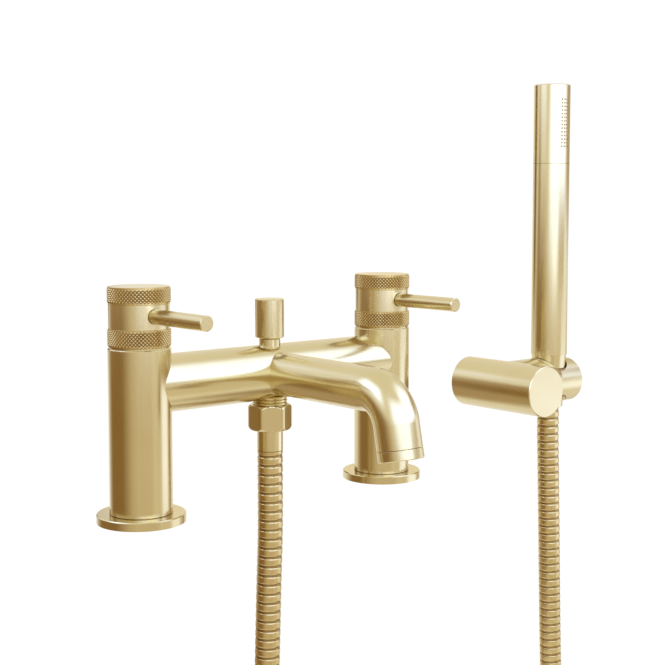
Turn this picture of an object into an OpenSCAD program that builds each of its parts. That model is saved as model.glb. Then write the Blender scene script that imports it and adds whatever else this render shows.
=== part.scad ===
// Bath shower mixer in brushed brass: two deck pillars with quarter-turn lever handles, a crossbar
// with a forward spout and a lift-up diverter, and a stick handset on a wall bracket, fed by a ribbed hose.
// Millimetres. The origin is midway between the two inlets on the deck, +X runs along the crossbar to
// the cold pillar, the spout points to -Y and +Z is up.

/* [Deck fixing] */
// Distance between the centres of the two inlets
hole_centres = 180; // [150:1:220]
// Bore of the threaded inlet socket in each pillar foot
inlet_d = 24.1; // [18:0.1:26]
// Depth of the inlet socket
inlet_depth = 18; // [12:1:24]

/* [Pillars] */
// Diameter of a pillar
pillar_d = 35; // [32:0.5:40]
// Height of a pillar above the deck
pillar_h = 97.3; // [90:0.1:120]
// Bore of the waterway between the inlet socket and the cartridge
waterway_d = 15; // [10:0.5:17]
// Diameter of the foot flange
flange_d = 49.8; // [46:0.2:60]
// Thickness of the foot flange
flange_t = 4.8; // [3:0.1:8]
// Thickness of the foot gasket
gasket_t = 1.5; // [1:0.1:2.5]
// Metal left on each side of the gasket groove
gasket_land = 1.5; // [1:0.1:2]

/* [Crossbar] */
// Diameter of the crossbar
bar_d = 32.9; // [30:0.1:34]
// Bore of the crossbar
bar_bore = 22; // [21:0.5:24]
// Distance from the pillars' tops down to the crossbar's axis
bar_drop = 21.2; // [20:0.1:24]

/* [Handles] */
// Gap between a pillar and its handle
handle_gap = 0.9; // [0.5:0.1:2]
// Diameter over the knurled ring and cap
handle_d = 35; // [34:0.1:38]
// Height of the knurled lower ring
ring_h = 10.1; // [8:0.1:14]
// Height of the plain band
band_h = 13.6; // [12:0.1:18]
// Diameter of the plain band
band_d = 33.8; // [32:0.1:36]
// Height of the knurled cap
cap_h = 9.6; // [8:0.1:14]
// Wall of the knurled ring and cap
ring_wall = 2.4; // [1.5:0.1:3]
// Diameter of a lever
lever_d = 8.3; // [6:0.1:9]
// Distance from a pillar's axis to the lever's tip
lever_reach = 66.5; // [50:0.5:90]
// Height of a lever's axis above the band's lower edge
lever_up = 7.3; // [6:0.1:8]
// Depth of the socket that a lever sits in
lever_socket = 3; // [2:0.5:5]
// Gap round a lever in its socket
lever_gap = 0.35; // [0.1:0.05:0.5]
// Diameter of a lever's threaded spigot
lever_spigot_d = 5; // [4:0.5:5]
// Diameter of the screw that holds a handle down
handle_screw_d = 5; // [4:0.5:6]

/* [Cartridges] */
// Outside diameter of a cartridge
cartridge_d = 22.4; // [20:0.1:23]
// Wall of a cartridge's cage
cage_wall = 1.6; // [1.2:0.1:2]
// Width of the windows in a cartridge's cage
window_d = 14; // [8:0.5:15]
// Diameter of a spindle
spindle_d = 8; // [7:0.1:9]
// Thickness of a spindle's drive flange
drive_t = 2.5; // [2:0.1:3]
// Thickness of each ceramic disc
disc_t = 3; // [2:0.1:3.4]
// Width of the two ports in each ceramic disc
disc_port_d = 6; // [4:0.5:6.5]
// Thickness of the seat seal under a cartridge
seal_t = 2.5; // [2:0.1:3]

/* [Spout] */
// Diameter of the spout
spout_d = 25.1; // [22:0.1:26]
// Bore of the spout
spout_bore = 18; // [16:0.5:19]
// Distance from the crossbar's axis to the start of the bend
spout_run = 91.5; // [60:0.5:130]
// Radius of the bend, on its centreline
bend_r = 21; // [16:0.5:40]
// Angle that the spout turns down through
spout_turn = 78; // [60:1:90]
// Length of the straight end below the bend, with the collar
spout_end = 19.2; // [16:0.1:30]
// Length of the aerator collar
collar_l = 5.9; // [5:0.1:8]
// Thickness of the aerator
aerator_t = 2.2; // [1.6:0.1:2.2]
// Depth of the aerator inside the mouth
aerator_recess = 0.6; // [0.4:0.1:0.7]
// Thickness of the aerator's seal
aerator_seal_t = 0.8; // [0.6:0.1:0.8]

/* [Diverter] */
// Diameter of the diverter knob
knob_d = 17.3; // [14:0.1:22]
// Height of the diverter knob
knob_h = 23.1; // [16:0.1:30]
// Gap under the diverter knob
knob_gap = 0.5; // [0.4:0.1:2]
// Diameter of the diverter's bush
bush_d = 12.7; // [11.4:0.1:14]
// Height of the bush above the crossbar
bush_h = 3.8; // [2:0.1:8]
// Diameter of the bush's threaded spigot
bush_spigot_d = 11; // [9:0.5:11]
// Diameter of the diverter's rod
rod_d = 6; // [5:0.1:7]
// Overlap of the valve's plug on each side of the outlet's bore
plug_over = 2; // [1:0.1:2]
// Thickness of the valve plug
plug_t = 2.7; // [2:0.1:3]
// Thickness of the valve's seal
valve_seal_t = 2; // [1.5:0.1:2.2]

/* [Hose outlet] */
// Diameter over the outlet's thread
thread_d = 20.8; // [19:0.1:21]
// Pitch of the outlet's thread
thread_pitch = 1.8; // [1.5:0.1:2]
// Depth of the outlet's thread
thread_depth = 0.9; // [0.5:0.1:1.1]
// Length of thread that shows above the nut
thread_show = 2.95; // [1:0.05:6]
// Diameter of the outlet's neck in the crossbar
neck_d = 16; // [15:0.5:17]
// Bore of the outlet
outlet_bore = 12; // [8:0.5:12.5]
// Width of the hose nut across its flats
nut_af = 23.5; // [23.2:0.1:27]
// Height of the hose nut
nut_h = 15.4; // [12:0.1:20]
// Thickness of the lip that holds the hose in the nut
nut_lip_t = 2.2; // [1.5:0.1:3]
// Thickness of each hose washer
washer_t = 2; // [1.5:0.1:3]

/* [Hose] */
// Diameter over the hose's ribs
hose_d = 15.4; // [14:0.1:16]
// Depth of the grooves between the ribs
groove_depth = 0.6; // [0.3:0.1:0.8]
// Bore of the ribbed cover
hose_bore = 11.2; // [10.8:0.1:12]
// Number of ribs
rib_count = 200; // [100:1:200]
// Outside diameter of the hose's inner tube
liner_d = 9.4; // [8:0.1:9.6]
// Bore of the hose's inner tube
liner_bore = 7; // [5:0.1:7.4]
// Diameter of the ferrule at the mixer
ferrule_d = 15.6; // [14.4:0.1:18]
// Length of the ferrule that shows
ferrule_h = 12.8; // [8:0.1:20]
// Diameter of the ferrule's stem in the nut
ferrule_stem_d = 13.6; // [12:0.1:14]
// Thickness of the ferrule's flange
ferrule_flange_t = 1.9; // [1.5:0.1:3]
// Bore of the ferrule and of the handset's nut around the inner tube
tube_hole_d = 10.2; // [9.8:0.1:10.6]

/* [Wall bracket] */
// Distance from the mixer's middle to the bracket's axis
bracket_x = 198; // [180:1:230]
// Distance from the mixer's middle back to the wall
wall_y = 27; // [25:0.5:40]
// Height of the bracket's axis above the deck
bracket_z = 49.7; // [40:0.1:56]
// Diameter of the bracket's stem
stem_d = 34.4; // [33:0.1:40]
// Length of the stem from the wall
stem_l = 72.3; // [66:0.1:90]
// Wall of the stem round its fixing
stem_wall = 3.2; // [2.5:0.1:4]
// Depth of the hollow in the stem
stem_hollow = 36; // [24:1:44]
// Length of the wall fixing inside the stem
fixing_l = 16; // [12:1:20]
// Diameter of the holes for the wall screws
wall_screw_d = 4.5; // [3.5:0.1:5.5]
// Distance between the wall screws
wall_screw_gap = 14; // [10:1:16]
// Diameter of the grub screw that locks the stem
grub_d = 4; // [3:0.5:5]
// Distance from the wall to the grub screw
grub_from_wall = 8; // [6:0.5:9]
// Diameter of the holder around the handset
holder_d = 30.7; // [29.6:0.1:33]
// Distance from the stem's axis to the holder's end
holder_reach = 61.6; // [57:0.1:80]
// Length of the neck between the stem's and the holder's diameter
neck_l = 10; // [4:1:14]
// Bore of the holder
holder_bore = 25.6; // [25.2:0.1:26]
// Height of the plastic seat in the holder
seat_h = 20; // [14:1:22]

/* [Handset] */
// Distance from the mixer's middle to the handset's axis
handset_x = 240.5; // [239:0.1:242]
// Distance from the mixer's middle to the handset's axis, front to back
handset_y = -10.5; // [-11.5:0.1:-9]
// Diameter of the handset
handset_d = 25.2; // [24.4:0.1:28]
// Wall of the handset's tube
handset_wall = 1.6; // [1.2:0.1:2.4]
// Height of the handset's lower end above the deck
handset_z = 69.2; // [68.9:0.1:74]
// Length of the handset below its seam
shaft_h = 134.5; // [100:0.5:180]
// Length of the spray head above the seam
head_h = 54.7; // [50:0.1:80]
// Thickness of the head's closed top
head_top_t = 3; // [2:0.1:5]
// Length of the joint between head and shaft
head_joint = 12; // [6:0.5:20]
// Diameter of the nut's cone at its top
cone_top_d = 24.3; // [23.6:0.1:24.4]
// Diameter of the nut's cone at the hose
cone_low_d = 19.9; // [18:0.1:20.4]
// Height of the nut's lower end above the deck
cone_z = 32; // [31.8:0.1:36]
// Depth of the threaded bore in the nut
cone_thread_l = 17; // [12:0.5:20]
// Diameter of the handset's inlet thread
inlet_thread_d = 20.6; // [19:0.1:20.8]
// Length of the inlet inside the handset
inlet_plug_l = 14; // [10:0.5:20]
// Outside diameter of the handset's water tube
pipe_d = 12; // [9:0.5:14]
// Wall of the handset's water tube
pipe_wall = 1.5; // [1:0.1:2]
// Rows of spray nozzles
nozzle_rows = 14; // [6:1:14]
// Columns of spray nozzles
nozzle_columns = 4; // [2:1:5]
// Distance between rows of nozzles
nozzle_row_gap = 2.5; // [2:0.1:2.7]
// Distance between columns of nozzles
nozzle_column_gap = 2.2; // [1.8:0.1:2.6]
// Diameter of a spray nozzle
nozzle_d = 1.1; // [0.8:0.1:1.4]
// Height of the first row of nozzles above the seam
nozzle_up = 11.8; // [8:0.1:12.5]
// Margin of the nozzle strip round its nozzles
plate_margin = 2; // [1.5:0.1:3]
// Thickness of the nozzle strip
plate_t = 1.2; // [0.8:0.1:2]

/* [Fits] */
// Radial clearance of a turning or sliding shaft
running_clear = 0.05; // [0.03:0.01:0.08]
// Radial clearance between pieces that are fixed together
seat_clear = 0.1; // [0.05:0.01:0.15]
// Clearance between surfaces that move past each other
free_clear = 0.35; // [0.3:0.05:0.5]
// Size of the small chamfers on edges
edge = 0.5; // [0.3:0.1:0.8]

/* [Hidden] */
$fn = 96;
SIDES = [["hot", -1], ["cold", 1]];
SIDE_PIECES = [
    "pillar", "foot_flange", "foot_gasket", "cartridge", "seat_seal", "fixed_disc", "moving_disc",
    "spindle", "handle_hub", "handle_ring", "handle_cap", "handle_screw", "lever"
];
MIDDLE_PIECES = [
    "crossbar", "spout", "spout_collar", "aerator", "aerator_seal", "diverter_bush", "diverter_rod",
    "diverter_knob", "diverter_plug", "diverter_seal", "outlet_spigot"
];
HOSE_PIECES = ["hose_nut", "hose_washer", "hose_ferrule", "hose", "hose_inner_tube", "cone_nut", "cone_washer"];
BRACKET_PIECES = ["bracket_body", "wall_fixing", "bracket_grub_screw", "holder_seat"];
HANDSET_PIECES = ["handset_shaft", "handset_head", "nozzle_plate", "handset_pipe", "handset_inlet"];

BRASS = [0.80, 0.67, 0.42];
RAW_BRASS = [0.71, 0.58, 0.33];
RUBBER = [0.10, 0.10, 0.11];
CERAMIC = [0.93, 0.92, 0.89];
NYLON = [0.88, 0.87, 0.83];
STEEL = [0.66, 0.67, 0.69];
SILICONE = [0.55, 0.47, 0.30];

// Overlap that makes a cut run past a face
past = 1;

// Heights in a pillar, from the crossbar's axis and the pocket's floor to the handle's top
bar_z = pillar_h - bar_drop;
pocket_d = cartridge_d + 2 * seat_clear;
seat_drop = 10;
pocket_z = bar_z - bar_bore / 2 - seat_drop;
cage_z = pocket_z + seal_t;
moving_z = cage_z + disc_t + running_clear;
drive_z = moving_z + disc_t + running_clear;
cage_top_z = bar_z + bar_bore / 2 - 1;
cage_d = cartridge_d - 2 * cage_wall;
handle_z = pillar_h + handle_gap;
band_z = handle_z + ring_h;
cap_z = band_z + band_h;
lever_z = band_z + lever_up;
core_d = handle_d - 2 * ring_wall - 2 * seat_clear;
core_top = 6;
screw_head_d = 8.4;
screw_head_h = 4;
spindle_short = 6;
spindle_top = cap_z - spindle_short;
screw_grip = 8;

// Heights of the diverter
bar_top = bar_z + bar_d / 2;
bush_top = bar_top + bush_h;
knob_z = bush_top + knob_gap;
rod_grip = 15;
seat_rise = 4.1;
valve_z = bar_z - bar_bore / 2 + seat_rise;
plug_d = outlet_bore + 2 * plug_over;
seal_z = valve_z + seat_clear;
plug_z = seal_z + valve_seal_t;

// Heights of the hose's end at the mixer
bar_low = bar_z - bar_d / 2;
nut_top = bar_low - thread_show;
nut_z = nut_top - nut_h;
flange_z = nut_z + nut_lip_t + seat_clear;
washer_z = flange_z + ferrule_flange_t;
spigot_z = washer_z + washer_t;
ferrule_z = nut_z - ferrule_h;
nut_corner_d = nut_af / cos(30);
nut_chamfer = 1.6;

// Places on the bracket
stem_front = wall_y - stem_l;
hollow_d = stem_d - 2 * stem_wall;
neck_x = handset_x - holder_bore / 2 + past;
holder_end = bracket_x + holder_reach;
seat_z = bracket_z - seat_h / 2;

// Heights of the handset
cone_top = handset_z - seat_clear;
cone_h = cone_top - cone_z;
cone_floor = cone_top - cone_thread_l;
cone_slope = (cone_top_d - cone_low_d) / 2 / cone_h;
shaft_bore = handset_d - 2 * handset_wall;
seam_z = handset_z + shaft_h;
head_z = seam_z + seat_clear;
inlet_hole = pipe_d - 2 * pipe_wall;
pipe_z = handset_z + 4;
pipe_top = seam_z + 4;
plate_w = (nozzle_columns - 1) * nozzle_column_gap + 2 * plate_margin;
plate_h = (nozzle_rows - 1) * nozzle_row_gap + 2 * plate_margin;
plate_z = seam_z + nozzle_up - plate_margin;
nozzle_proud = 0.2;
joint_bore = shaft_bore - 2 * seat_clear - 2 * handset_wall;
joint_top = 6;

// Route of the hose, from the ferrule at the mixer down, round and up to the handset's nut
hose_route = [
    [0, 0, 28.5], [0, 0, 8], [0, 0, -14], [-1.5, 0, -60], [-3, 0, -110], [-5, 0, -180],
    [-7, 0, -250], [-8, -1, -320], [-7, -4, -388], [3, -10, -438], [30.5, -19, -479], [72, -27, -506],
    [121, -30, -516], [170, -28, -506], [211.5, -23, -479], [239, -17, -438], [249.5, -13, -388],
    [250.7, -11, -320], [249.8, -10.5, -250], [247.8, -10.5, -180], [245.3, -10.5, -120],
    [243.2, -10.5, -60], [241.4, -10.5, -10], [240.5, -10.5, 14], [240.5, -10.5, 22],
    [240.5, -10.5, 31.9]
];
// The inner tube runs on into the ferrule and into the handset's nut
tube_in_ferrule = 11;
tube_in_nut = 16;
tube_route = concat(
    [hose_route[0] + [0, 0, tube_in_ferrule]],
    hose_route,
    [hose_route[len(hose_route) - 1] + [0, 0, tube_in_nut]]
);
route_steps = 10;
tube_sides = 8;
tube_ring_count = 62;
bore_ring_count = 80;

function unit(v) = v / norm(v);

// Direction of a route at one of its points
function heading(route, i) =
    i == 0 ? unit(route[1] - route[0]) :
    i == len(route) - 1 ? unit(route[i] - route[i - 1]) :
    let (before = norm(route[i] - route[i - 1]), after = norm(route[i + 1] - route[i]))
    ((route[i + 1] - route[i]) * before / after + (route[i] - route[i - 1]) * after / before)
        / (before + after);

// Point on the smooth curve between two points of a route
function between(route, i, t) =
    let (span = norm(route[i + 1] - route[i]), t2 = t * t, t3 = t2 * t)
    (2 * t3 - 3 * t2 + 1) * route[i] + (t3 - 2 * t2 + t) * span * heading(route, i)
        + (3 * t2 - 2 * t3) * route[i + 1] + (t3 - t2) * span * heading(route, i + 1);

// Fine points along the whole curve
function smooth(route) = concat(
    [for (i = [0 : len(route) - 2]) for (k = [0 : route_steps - 1]) between(route, i, k / route_steps)],
    [route[len(route) - 1]]
);

// Distance along a curve at each of its points
function distances(curve) = [
    for (i = 0, run = 0; i < len(curve); run = run + (i + 1 < len(curve) ? norm(curve[i + 1] - curve[i]) : 0),
        i = i + 1) run
];

// Point at a distance along a curve
function along(curve, marks, s) = [
    for (axis = [0 : 2]) lookup(s, [for (i = [0 : len(curve) - 1]) [marks[i], curve[i][axis]]])
];

// Ring of points round a curve at a distance along it
function ring(curve, marks, s, r) =
    let (
        total = marks[len(marks) - 1],
        ahead = along(curve, marks, min(s + 1, total)),
        behind = along(curve, marks, max(s - 1, 0)),
        middle = along(curve, marks, s),
        forward = unit(ahead - behind),
        side = unit(cross(forward, [0, 1, 0])),
        up = cross(forward, side)
    )
    [for (k = [0 : tube_sides - 1])
        middle + r * (cos(k * 360 / tube_sides) * side + sin(k * 360 / tube_sides) * up)];

// Hollow tube through rings of points, [distance, radius] for each ring outside and inside
module swept_tube(route, outside, inside) {
    curve = smooth(route);
    marks = distances(curve);
    total = marks[len(marks) - 1];
    rings = concat(
        [for (o = outside) each ring(curve, marks, o[0] * total, o[1])],
        [for (i = inside) each ring(curve, marks, i[0] * total, i[1])]
    );
    n = tube_sides;
    inner = len(outside) * n;
    last = (len(outside) - 1) * n;
    inner_last = inner + (len(inside) - 1) * n;
    polyhedron(rings, concat(
        [for (i = [0 : len(outside) - 2]) for (j = [0 : n - 1]) let (a = i * n, b = (j + 1) % n)
            each [[a + j, a + n + b, a + b], [a + j, a + n + j, a + n + b]]],
        [for (i = [0 : len(inside) - 2]) for (j = [0 : n - 1]) let (a = inner + i * n, b = (j + 1) % n)
            each [[a + j, a + b, a + n + b], [a + j, a + n + b, a + n + j]]],
        [for (j = [0 : n - 1]) let (b = (j + 1) % n)
            each [[j, b, inner + b], [j, inner + b, inner + j]]],
        [for (j = [0 : n - 1]) let (b = (j + 1) % n)
            each [[last + j, inner_last + b, last + b], [last + j, inner_last + j, inner_last + b]]]
    ), convexity = 6);
}

module tube(outer_d, inner_d, h) {
    difference() {
        cylinder(d = outer_d, h = h);
        translate([0, 0, -past]) cylinder(d = inner_d, h = h + 2 * past);
    }
}

// Cylinder with chamfered ends, each chamfer given by its size
module edged_cylinder(d, h, low = 0, high = 0) {
    rotate_extrude()
        polygon([[0, 0], [d / 2 - low, 0], [d / 2, low], [d / 2, h - high], [d / 2 - high, h], [0, h]]);
}

module on_side(side) {
    translate([side * hole_centres / 2, 0, 0]) children();
}

module along_x(x) {
    translate([x, 0, 0]) rotate([0, 90, 0]) children();
}

// Turns children from +Z to the front, -Y
module to_front() {
    rotate([90, 0, 0]) children();
}

module bar_shape() {
    translate([0, 0, bar_z]) along_x(-hole_centres / 2) cylinder(d = bar_d, h = hole_centres);
}

// Places children at the middle of the spout's bend, turned along it
module in_bend(turn = 0) {
    translate([0, -spout_run, bar_z - bend_r]) rotate(180, [1, 0, 1]) rotate([0, 0, turn]) children();
}

// Places children at the spout's mouth, with +Z out of it
module at_mouth() {
    in_bend(spout_turn) translate([bend_r, 0, 0]) rotate([-90, 0, 0]) translate([0, 0, spout_end]) children();
}

module at_handset(z) {
    translate([handset_x, handset_y, z]) children();
}

// Places children on the bracket's axis at a distance from the wall, with +Z away from the wall
module from_wall(distance) {
    translate([bracket_x, wall_y - distance, bracket_z]) rotate([90, 0, 0]) children();
}

module pillar() {
    color(BRASS) difference() {
        edged_cylinder(pillar_d, pillar_h, 0, edge);
        translate([0, 0, -past]) cylinder(d = inlet_d, h = inlet_depth + past);
        cylinder(d = waterway_d, h = pocket_z + past);
        translate([0, 0, pocket_z]) cylinder(d = pocket_d, h = pillar_h);
    }
}

// Waterway from a pillar's cartridge into the crossbar
module side_port(side) {
    translate([0, 0, bar_z]) rotate([0, side * -90, 0]) cylinder(d = window_d, h = pillar_d);
}

module ported_pillar(side) {
    color(BRASS) difference() {
        pillar();
        side_port(side);
    }
}

module foot_flange() {
    color(BRASS) difference() {
        edged_cylinder(flange_d, flange_t, 0, edge);
        translate([0, 0, -past]) cylinder(d = pillar_d + 2 * seat_clear, h = flange_t + 2 * past);
        translate([0, 0, -past]) tube(gasket_out_d(), gasket_in_d(), gasket_t + past);
    }
}

function gasket_in_d() = pillar_d + 2 * seat_clear + 2 * gasket_land;
function gasket_out_d() = flange_d - 2 * gasket_land;

module foot_gasket() {
    color(RUBBER) tube(gasket_out_d() - 2 * seat_clear, gasket_in_d() + 2 * seat_clear, gasket_t);
}

module seat_seal() {
    color(RUBBER) translate([0, 0, pocket_z]) tube(cartridge_d, waterway_d, seal_t);
}

// Ceramic disc with two ports across its middle
module disc(d) {
    difference() {
        cylinder(d = d, h = disc_t);
        for (side = [-1, 1])
            translate([side * disc_port_d * 0.75, 0, -past]) cylinder(d = disc_port_d, h = disc_t + 2 * past);
    }
}

module fixed_disc() {
    color(CERAMIC) translate([0, 0, cage_z]) disc(cage_d - 2 * seat_clear);
}

module moving_disc() {
    color(CERAMIC) translate([0, 0, moving_z]) disc(cage_d - 2 * free_clear);
}

module cartridge() {
    color(RAW_BRASS) difference() {
        translate([0, 0, cage_z]) cylinder(d = cartridge_d, h = pillar_h - seat_clear - cage_z);
        translate([0, 0, cage_z - past]) cylinder(d = cage_d, h = cage_top_z - cage_z + past);
        cylinder(d = spindle_d + 2 * running_clear, h = pillar_h + past);
        for (turn = [0, 90])
            rotate([0, 0, turn]) translate([0, 0, bar_z]) along_x(-cartridge_d)
                cylinder(d = window_d, h = 2 * cartridge_d);
    }
}

module spindle() {
    color(STEEL) difference() {
        union() {
            translate([0, 0, drive_z]) cylinder(d = cage_d - 2 * free_clear, h = drive_t);
            translate([0, 0, drive_z]) cylinder(d = spindle_d, h = spindle_top - drive_z);
        }
        translate([0, 0, spindle_top - screw_grip])
            cylinder(d = handle_screw_d, h = screw_grip + past);
    }
}

module handle_hub() {
    color(BRASS) difference() {
        union() {
            translate([0, 0, handle_z]) cylinder(d = core_d, h = cap_z + core_top - handle_z);
            translate([0, 0, band_z]) cylinder(d = band_d, h = band_h);
        }
        translate([0, 0, handle_z - past])
            cylinder(d = spindle_d + 2 * seat_clear, h = spindle_top + seat_clear - handle_z + past);
        translate([0, 0, handle_z])
            cylinder(d = handle_screw_d + 2 * seat_clear, h = cap_z + core_top - handle_z);
        translate([0, 0, cap_z + core_top - screw_head_h])
            cylinder(d = screw_head_d + 2 * seat_clear, h = screw_head_h + past);
        translate([0, 0, lever_z]) to_front() {
            translate([0, 0, band_d / 2 - lever_socket]) cylinder(d = lever_d + 2 * lever_gap, h = band_d);
            translate([0, 0, spindle_d / 2 + lever_wall])
                cylinder(d = lever_spigot_d + 2 * seat_clear, h = band_d / 2);
        }
    }
}

// Metal left between the spindle's bore and a lever's spigot
lever_wall = 2;

module handle_ring() {
    color(BRASS) translate([0, 0, handle_z]) difference() {
        edged_cylinder(handle_d, ring_h, edge, edge);
        translate([0, 0, -past]) cylinder(d = core_d + 2 * seat_clear, h = ring_h + 2 * past);
    }
}

module handle_cap() {
    color(BRASS) translate([0, 0, cap_z]) difference() {
        edged_cylinder(handle_d, cap_h, edge, edge);
        translate([0, 0, -past]) cylinder(d = core_d + 2 * seat_clear, h = core_top + seat_clear + past);
    }
}

module handle_screw() {
    head_z = cap_z + core_top - screw_head_h;
    color(STEEL) {
        translate([0, 0, head_z]) cylinder(d = screw_head_d, h = screw_head_h - seat_clear);
        translate([0, 0, spindle_top - screw_grip + seat_clear])
            cylinder(d = handle_screw_d - 2 * seat_clear, h = head_z - spindle_top + screw_grip);
    }
}

module lever() {
    root = band_d / 2 - lever_socket + seat_clear;
    color(BRASS) translate([0, 0, lever_z]) to_front() {
        translate([0, 0, root]) edged_cylinder(lever_d, lever_reach - root, 0, edge);
        translate([0, 0, spindle_d / 2 + lever_wall + seat_clear])
            cylinder(d = lever_spigot_d, h = root - spindle_d / 2 - lever_wall);
    }
}

module crossbar() {
    color(BRASS) difference() {
        bar_shape();
        for (side = SIDES) on_side(side[1]) cylinder(d = pillar_d, h = 2 * bar_z);
        translate([0, 0, bar_z]) along_x(-hole_centres / 2) cylinder(d = bar_bore, h = hole_centres);
        translate([0, 0, bar_z]) to_front() cylinder(d = spout_bore, h = bar_d);
        translate([0, 0, bar_z]) cylinder(d = bush_spigot_d + 2 * seat_clear, h = bar_d);
        cylinder(d = neck_d + 2 * seat_clear, h = bar_z);
    }
}

module spout() {
    color(BRASS) {
        difference() {
            translate([0, 0, bar_z]) to_front() tube(spout_d, spout_bore, spout_run);
            bar_shape();
        }
        in_bend() rotate_extrude(angle = spout_turn) translate([bend_r, 0]) difference() {
            circle(d = spout_d);
            circle(d = spout_bore);
        }
        at_mouth() translate([0, 0, -spout_end - end_lap])
            tube(spout_d - 2 * end_step, spout_bore + 2 * end_step, end_lap + spout_end - collar_l);
    }
}

// The straight end is turned down by a hair, and starts inside the wall of the bend
end_step = 0.05;
end_lap = 1;

module spout_collar() {
    shown_l = collar_l - collar_gap;
    color(BRASS) at_mouth() difference() {
        union() {
            translate([0, 0, -shown_l]) edged_cylinder(spout_d, shown_l, collar_gap, edge);
            translate([0, 0, -collar_l - collar_spigot_l])
                cylinder(d = spout_bore - 2 * seat_clear, h = collar_spigot_l + collar_l / 2);
        }
        translate([0, 0, -collar_l - collar_spigot_l - past])
            cylinder(d = spout_bore - 2 * collar_wall, h = collar_l + collar_spigot_l);
        translate([0, 0, -mouth_depth]) cylinder(d = mouth_d, h = mouth_depth + past);
    }
}

// Gap at the collar's seam, length and wall of its spigot in the spout, and the pocket for the aerator
collar_gap = 0.25;
collar_spigot_l = 5;
collar_wall = 1.6;
mouth_d = spout_d - 4.6;
mouth_depth = aerator_recess + aerator_t + aerator_seal_t;

module aerator() {
    color(NYLON) at_mouth() translate([0, 0, -aerator_recess - aerator_t])
        cylinder(d = mouth_d - 2 * seat_clear, h = aerator_t);
}

module aerator_seal() {
    color(RUBBER) at_mouth() translate([0, 0, -mouth_depth])
        tube(mouth_d - 2 * seat_clear, spout_bore - 2 * collar_wall, aerator_seal_t);
}

module diverter_bush() {
    color(BRASS) difference() {
        union() {
            difference() {
                translate([0, 0, bar_z]) edged_cylinder(bush_d, bush_top - bar_z, 0, edge);
                bar_shape();
            }
            translate([0, 0, bar_z + bar_bore / 2 - past])
                cylinder(d = bush_spigot_d, h = (bar_d - bar_bore) / 2 + past);
        }
        cylinder(d = rod_d + 2 * running_clear, h = bush_top + past);
    }
}

module diverter_rod() {
    color(STEEL) translate([0, 0, seal_z]) cylinder(d = rod_d, h = knob_z + rod_grip - seal_z);
}

module diverter_knob() {
    color(BRASS) translate([0, 0, knob_z]) difference() {
        edged_cylinder(knob_d, knob_h, edge, edge);
        translate([0, 0, -past]) cylinder(d = rod_d + 2 * seat_clear, h = rod_grip + seat_clear + past);
    }
}

module diverter_plug() {
    color(RAW_BRASS) translate([0, 0, plug_z]) tube(plug_d, rod_d + 2 * seat_clear, plug_t);
}

module diverter_seal() {
    color(RUBBER) translate([0, 0, seal_z]) tube(plug_d, rod_d + 2 * seat_clear, valve_seal_t);
}

// Outline of a thread from its end up, crests and roots in turn
function thread_outline(d, depth, pitch, z, turns) = concat(
    [[0, z]],
    [for (i = [0 : turns - 1]) each [
        [d / 2 - depth, z + i * pitch],
        [d / 2, z + (i + 0.35) * pitch],
        [d / 2, z + (i + 0.65) * pitch]
    ]],
    [[d / 2 - depth, z + turns * pitch], [0, z + turns * pitch]]
);

module outlet_spigot() {
    turns = ceil((bar_low - spigot_z) / thread_pitch) + 1;
    color(BRASS) difference() {
        union() {
            difference() {
                rotate_extrude()
                    polygon(thread_outline(thread_d, thread_depth, thread_pitch, spigot_z, turns));
                bar_shape();
            }
            translate([0, 0, spigot_z]) cylinder(d = neck_d, h = valve_z - spigot_z);
        }
        translate([0, 0, spigot_z - past]) cylinder(d = outlet_bore, h = valve_z - spigot_z + 2 * past);
    }
}

module hose_nut() {
    color(BRASS) difference() {
        intersection() {
            translate([0, 0, nut_z]) rotate([0, 0, 30]) cylinder(d = nut_corner_d, h = nut_h, $fn = 6);
            translate([0, 0, nut_z]) edged_cylinder(nut_corner_d, nut_h, nut_chamfer, nut_chamfer);
        }
        translate([0, 0, nut_z - past]) cylinder(d = ferrule_stem_d + 2 * seat_clear, h = nut_h + 2 * past);
        translate([0, 0, nut_z + nut_lip_t]) cylinder(d = thread_d + 2 * seat_clear, h = nut_h);
    }
}

module hose_washer() {
    color(RUBBER) translate([0, 0, washer_z]) tube(thread_d - 2 * thread_depth, outlet_bore, washer_t);
}

module hose_ferrule() {
    color(BRASS) difference() {
        union() {
            translate([0, 0, ferrule_z]) edged_cylinder(ferrule_d, ferrule_h - seat_clear, edge, edge);
            translate([0, 0, ferrule_z]) cylinder(d = ferrule_stem_d, h = washer_z - ferrule_z);
            translate([0, 0, flange_z]) cylinder(d = thread_d - 2 * thread_depth, h = ferrule_flange_t);
        }
        translate([0, 0, ferrule_z - past]) cylinder(d = tube_hole_d, h = washer_z - ferrule_z + 2 * past);
    }
}

// Ribbed metal cover of the hose: two rings a rib, one on its crest and one in the groove after it
module hose() {
    crest = hose_d / 2;
    groove = crest - groove_depth;
    outside = concat(
        [[0, groove]],
        [for (i = [0 : rib_count - 1]) each [[(i + 0.3) / rib_count, crest], [(i + 0.8) / rib_count, groove]]],
        [[1, groove]]
    );
    inside = [for (i = [0 : bore_ring_count - 1]) [i / (bore_ring_count - 1), hose_bore / 2]];
    color(BRASS) swept_tube(hose_route, outside, inside);
}

module hose_inner_tube() {
    steps = tube_ring_count - 1;
    color(RUBBER) swept_tube(
        tube_route,
        [for (i = [0 : steps]) [i / steps, liner_d / 2]],
        [for (i = [0 : steps]) [i / steps, liner_bore / 2]]
    );
}

module cone_nut() {
    color(BRASS) at_handset(cone_z) difference() {
        cylinder(d1 = cone_low_d, d2 = cone_top_d, h = cone_h);
        translate([0, 0, -past]) cylinder(d = tube_hole_d, h = cone_h);
        translate([0, 0, cone_floor - cone_z])
            cylinder(d = inlet_thread_d + 2 * seat_clear, h = cone_thread_l + past);
    }
}

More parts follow.
